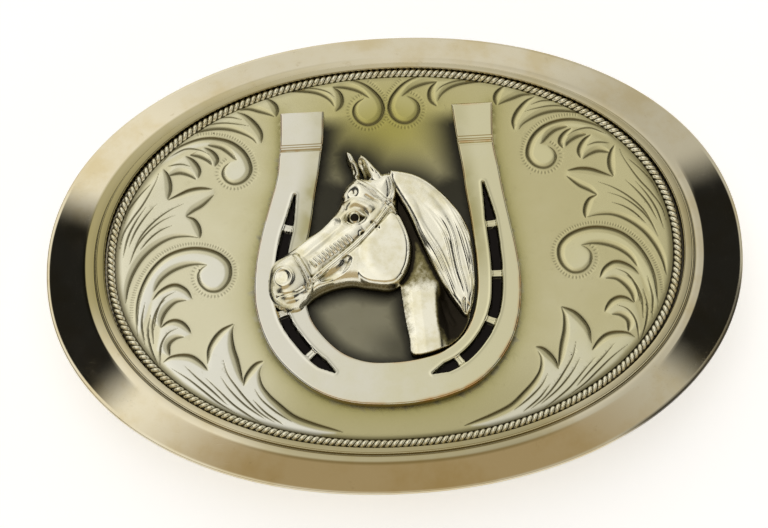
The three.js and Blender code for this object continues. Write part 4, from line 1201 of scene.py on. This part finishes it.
def horse_piece():
    form = Relief((-17.9, -15.9), (11.3, 15.3), 0.085)
    neck_depth, neck_z, neck_dark, neck_shine = neck_height(form)
    head_depth, head_z, head_shine = head_height(form)
    parts = [(neck_depth, neck_z), mane_height(form), (head_depth, head_z), *ear_heights(form)]
    depth = np.max([d for d, _ in parts], axis=0)
    above_neck = np.max([np.where(d > 0, h, 0) for d, h in parts[1:]], axis=0)
    neck_shows = (neck_depth > 0) & (above_neck < neck_z)
    z = np.max([np.where(d > 0, h, 0) for d, h in parts], axis=0)
    under = np.max([np.where(d > -0.3, h, 0) for d, h in parts], axis=0)
    z = np.where(depth > 0, z, np.where(depth > -0.3, under, 0))
    z = form.blurred(z, 0.045)
    z = np.where(depth > 0, np.maximum(z, 0.6), under)
    z = np.minimum(z, 4.15)
    form.z = FACE_TOP + z
    open_z = np.where(depth > 0, z, 0.4)
    deep = 3.3 * np.clip(form.blurred(open_z, 0.22) - open_z, 0, 1)
    deep += 1.3 * np.clip(form.blurred(open_z, 0.6) - open_z, 0, 1)
    deep += form.blurred(np.where(neck_shows, neck_dark, 0.0), 0.12)
    deep += 0.5 * smoothstep(z, 1.7, 1.0)
    ex, ey = EYE
    deep += 1.3 * smoothstep(np.hypot(form.X - ex, form.Y - ey), 0.62, 0.48)
    deep += 0.7 * np.exp(-((form.X - ex - 1.25) ** 2 + (form.Y - ey) ** 2) / 0.3 ** 2)
    deep += 0.5 * np.exp(-(((form.X - ex + 1.1) / 0.7) ** 2 + ((form.Y - ey) / 0.6) ** 2))
    shine = np.where(neck_shows, neck_shine, np.where(head_depth > 0, head_shine, 0))
    shoe = np.vstack([shoe_edge(SHOE_OUTER), shoe_edge(SHOE_INNER)[::-1]])
    on_shoe = form.inside(shoe).astype(float)

    def foot(x, y):
        return np.where(form.sample(on_shoe, x, y) > 0.5, SHOE_TOP - 0.9, FACE_TOP - 0.1)

    verts, faces, normals, kept, rim = relief_mesh(form, depth, foot)
    mesh = new_mesh("horse_head", verts, faces)
    mesh.normals_split_custom_set_from_vertices(normals.tolist())
    darkening = np.clip(deep, 0, 1).ravel()[kept]
    # painted shade on the side walls: 0.3 at their tops and full black at their feet
    darkening[rim] = 0.3
    give(mesh, "deep", np.concatenate([darkening, np.ones(len(rim))]))
    give(mesh, "polish", np.concatenate([form.blurred(shine, 0.08).ravel()[kept], np.zeros(len(rim))]))
    return show("horse_head", mesh, horse_metal(), "buckle", "horse_head")


# ---- The back ----
BAIL = {"wire": 1.25, "x": 27.0, "z": BACK_Z - 4.4, "reach": 14.0, "half": 21.6, "corner": 2.4, "pin": 17.6}


def bevelled_copy(node, name, width, material):
    """The CAD piece with its flat faces joined up and its corners rounded."""
    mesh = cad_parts[node].data.copy()
    mesh.name = name
    piece = show(name, mesh, material, "buckle", node)
    weld = piece.modifiers.new("weld", "WELD")
    weld.merge_threshold = 0.00001
    flat = piece.modifiers.new("flat", "DECIMATE")
    flat.decimate_type = "DISSOLVE"
    flat.angle_limit = math.radians(2)
    round_off = piece.modifiers.new("round", "BEVEL")
    round_off.width = width * MM
    round_off.segments = 3
    round_off.limit_method = "ANGLE"
    round_off.angle_limit = math.radians(35)
    return piece


def turned_piece(name, node, profile, at, material, lean=0.0, lean_from=0.0, squash=1.0):
    """A turned piece about a line through at, closed at both ends of its profile."""
    line = smooth_line(profile, spacing=0.08)
    sides = 48
    turn = np.linspace(0, 2 * math.pi, sides, endpoint=False)
    rings = line[1:-1]
    x = at[0] + rings[:, :1] * np.cos(turn)[None, :]
    y = at[1] + squash * rings[:, :1] * np.sin(turn)[None, :]
    z = np.repeat(rings[:, 1:], sides, 1)
    x = x - np.maximum(0, lean_from - z) * lean
    verts = np.stack([x, y, z], -1).reshape(-1, 3)
    ends = [[at[0] - max(0, lean_from - e[1]) * lean, at[1], e[1]] for e in (line[0], line[-1])]
    verts = np.vstack([verts, ends])
    k = np.arange(sides)
    nxt = (k + 1) % sides
    quads = [np.stack([i * sides + k, i * sides + nxt, (i + 1) * sides + nxt, (i + 1) * sides + k], -1)
             for i in range(len(rings) - 1)]
    top = (len(rings) - 1) * sides
    fans = [np.stack([nxt, k, np.full(sides, len(verts) - 2)], -1),
            np.stack([top + k, top + nxt, np.full(sides, len(verts) - 1)], -1)]
    mesh = new_mesh(name, verts, [np.vstack(quads)] + fans)
    sharpen(mesh, 50)
    return show(name, mesh, material, "buckle", node)


def bail_piece(material):
    x0, z0 = BAIL["x"], BAIL["z"]
    droop = math.asin((z0 - BAIL["wire"]) / BAIL["reach"])
    corners = [(0, BAIL["pin"]), (0, BAIL["half"]), (-BAIL["reach"], BAIL["half"]),
               (-BAIL["reach"], -BAIL["half"]), (0, -BAIL["half"]), (0, -BAIL["pin"])]
    r = BAIL["corner"]
    path = [np.array([corners[0]], float)]
    for before, here, after in zip(corners[:-2], corners[1:-1], corners[2:]):
        a, b, c = (np.array(p, float) for p in (before, here, after))
        start = b + (a - b) / np.linalg.norm(a - b) * r
        end = b + (c - b) / np.linalg.norm(c - b) * r
        t = np.linspace(0, 1, 14)[:, None]
        path.append((1 - t) ** 2 * start + 2 * t * (1 - t) * b + t ** 2 * end)
    path.append(np.array([corners[-1]], float))
    flat, _ = walk(np.vstack(path), 0.4)
    flat = np.vstack([flat, corners[-1]])
    radii = np.full(len(flat), BAIL["wire"])
    caps = [0.35, 0.75, 0.95]
    first = flat[0] + np.outer([0.0, 0.12, 0.35], [0, 1.0])
    last = flat[-1] + np.outer([0.35, 0.12, 0.0], [0, -1.0])
    flat = np.vstack([first, flat[1:-1], last])
    radii = np.concatenate([BAIL["wire"] * np.array(caps), radii[1:-1],
                            BAIL["wire"] * np.array(caps[::-1])])
    path3 = np.stack([flat[:, 0], flat[:, 1], np.zeros(len(flat))], 1)
    verts, faces = swept(path3, radii, 24)
    c, s = math.cos(droop), math.sin(droop)
    x, z = verts[:, 0] * c - verts[:, 2] * s, verts[:, 0] * s + verts[:, 2] * c
    verts = np.stack([x + x0, verts[:, 1], z + z0], 1)
    mesh = new_mesh("bail_loop", verts, faces)
    return show("bail_loop", mesh, material, "bail", "bail_loop")


def back_pieces():
    dull, steel = back_metal(), steel_metal()
    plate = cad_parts["back_plate"]
    plate.data.materials.clear()
    plate.data.materials.append(dull)
    bevelled_copy("bail_bracket", "bail_bracket", 0.14, dull)
    bevelled_copy("hook_pad", "hook_pad", 0.16, dull)
    head = BACK_Z - 0.9
    for name, y in (("bracket_rivet_lower", -9.0), ("bracket_rivet_upper", 9.0)):
        profile = [(0, head - 0.75), (0.6, head - 0.72), (1.2, head - 0.58), (1.68, head - 0.3),
                   (1.9, head - 0.04), (1.86, head), (1.0, head + 0.02), (1.0, BACK_Z + 0.45),
                   (1.66, BACK_Z + 0.9), (0, BACK_Z + 0.93)]
        turned_piece(name, name, profile, (27.0, y), steel)
    seat = BACK_Z - 0.9
    neck = seat - 0.8
    profile = [(0, 0.02), (0.85, 0.04), (1.55, 0.36), (1.92, 0.95), (1.99, 1.7), (1.99, 3.2),
               (1.99, neck - 0.32),
               (2.2, neck - 0.08), (2.55, neck + 0.1), (2.68, neck + 0.35), (2.66, seat - 0.04),
               (2.6, seat),
               (1.6, seat + 0.01), (1.6, BACK_Z + 0.42), (2.24, BACK_Z + 0.9), (0, BACK_Z + 0.93)]
    lean = math.tan(math.radians(16))
    turned_piece("hook_post", "hook_post", profile, (-33.0, 0.0), steel, lean, neck)
    bail_piece(steel)


# ---- The studio ----
# The studio's colours
LAMP_SIDE = (1.2, 1.18, 1.15)  # the tent's left, with the lamp behind it
DIM_SIDE = (0.7, 0.69, 0.66)  # the tent's right
FRONT = (0.5, 0.4, 0.25)  # the open front, dim and warm
CARD = (0.02, 0.02, 0.02)  # the black cards
TENT = (0.95, 0.94, 0.92)  # the tent low down, all round


def build_world():
    """A plain soft studio: a white tent, dimmer on the right and in front, with a black card each side."""
    world = bpy.data.worlds.new("studio")
    bpy.context.scene.world = world
    world.use_nodes = True
    studio = Nodes(world.node_tree)
    background = studio.tree.nodes["Background"]
    direction = studio.tree.nodes.new("ShaderNodeTexCoord").outputs["Generated"]

    def toward(axis):
        node = studio.tree.nodes.new("ShaderNodeVectorMath")
        node.operation = "DOT_PRODUCT"
        node.inputs[1].default_value = axis
        studio.put(node.inputs[0], direction)
        return node.outputs["Value"]

    across, behind, height = toward((1, 0, 0)), toward((0, 1, 0)), toward((0, 0, 1))
    color = studio.mix(studio.spread(across, -0.4, 0.4), LAMP_SIDE, DIM_SIDE)
    color = studio.mix(studio.spread(behind, -0.15, -0.45), color, FRONT)
    color = studio.mix(studio.spread(studio.math("ABSOLUTE", across), 0.5, 0.56), color, CARD)
    color = studio.mix(studio.spread(height, 0.5, 0.35), color, TENT)
    studio.put(background.inputs["Color"], color)
    background.inputs["Strength"].default_value = 1.0


def build_floor():
    size = 3.0
    mesh = bpy.data.meshes.new("floor")
    mesh.from_pydata([(-size, -size, 0), (size, -size, 0), (size, size, 0), (-size, size, 0)], [],
                     [(0, 1, 2, 3)])
    floor = bpy.data.objects.new("floor", mesh)
    bpy.context.scene.collection.objects.link(floor)
    material = bpy.data.materials.new("white paper")
    material.use_nodes = True
    shader = material.node_tree.nodes["Principled BSDF"]
    shader.inputs["Base Color"].default_value = (0.88, 0.88, 0.88, 1)
    shader.inputs["Roughness"].default_value = 0.8
    shader.inputs["Emission Color"].default_value = (1, 1, 1, 1)
    shader.inputs["Emission Strength"].default_value = 0.5
    mesh.materials.append(material)


def build_camera():
    """The view: from in front of the buckle's lower edge, 70 degrees up, a little rolled."""
    up_angle, turn, roll = math.radians(70.0), math.radians(-0.78), math.radians(-2.31)
    away = 450.0
    back = np.array([math.sin(turn) * math.cos(up_angle), -math.cos(turn) * math.cos(up_angle),
                     math.sin(up_angle)])
    right = np.cross([0, 0, 1.0], back)
    right /= np.linalg.norm(right)
    up = np.cross(back, right)
    right, up = (math.cos(roll) * right + math.sin(roll) * up,
                 -math.sin(roll) * right + math.cos(roll) * up)
    data = bpy.data.cameras.new("camera")
    data.lens = 154.7
    data.sensor_width = 36.0
    data.shift_x = -0.0137
    data.shift_y = -0.00525
    data.clip_start = 0.01
    camera = bpy.data.objects.new("camera", data)
    place = (back * away + [0, 0, BACK_Z + 0.8]) * MM
    camera.matrix_world = Matrix(
        [[right[k], up[k], back[k], place[k]] for k in range(3)] + [[0, 0, 0, 1]])
    bpy.context.scene.collection.objects.link(camera)
    bpy.context.scene.camera = camera


rim_piece()
face_piece(head_outlines())
rope_piece()
shoe_piece()
horse_piece()
back_pieces()
build_world()
build_floor()
build_camera()
bpy.context.scene.view_settings.view_transform = "Standard"
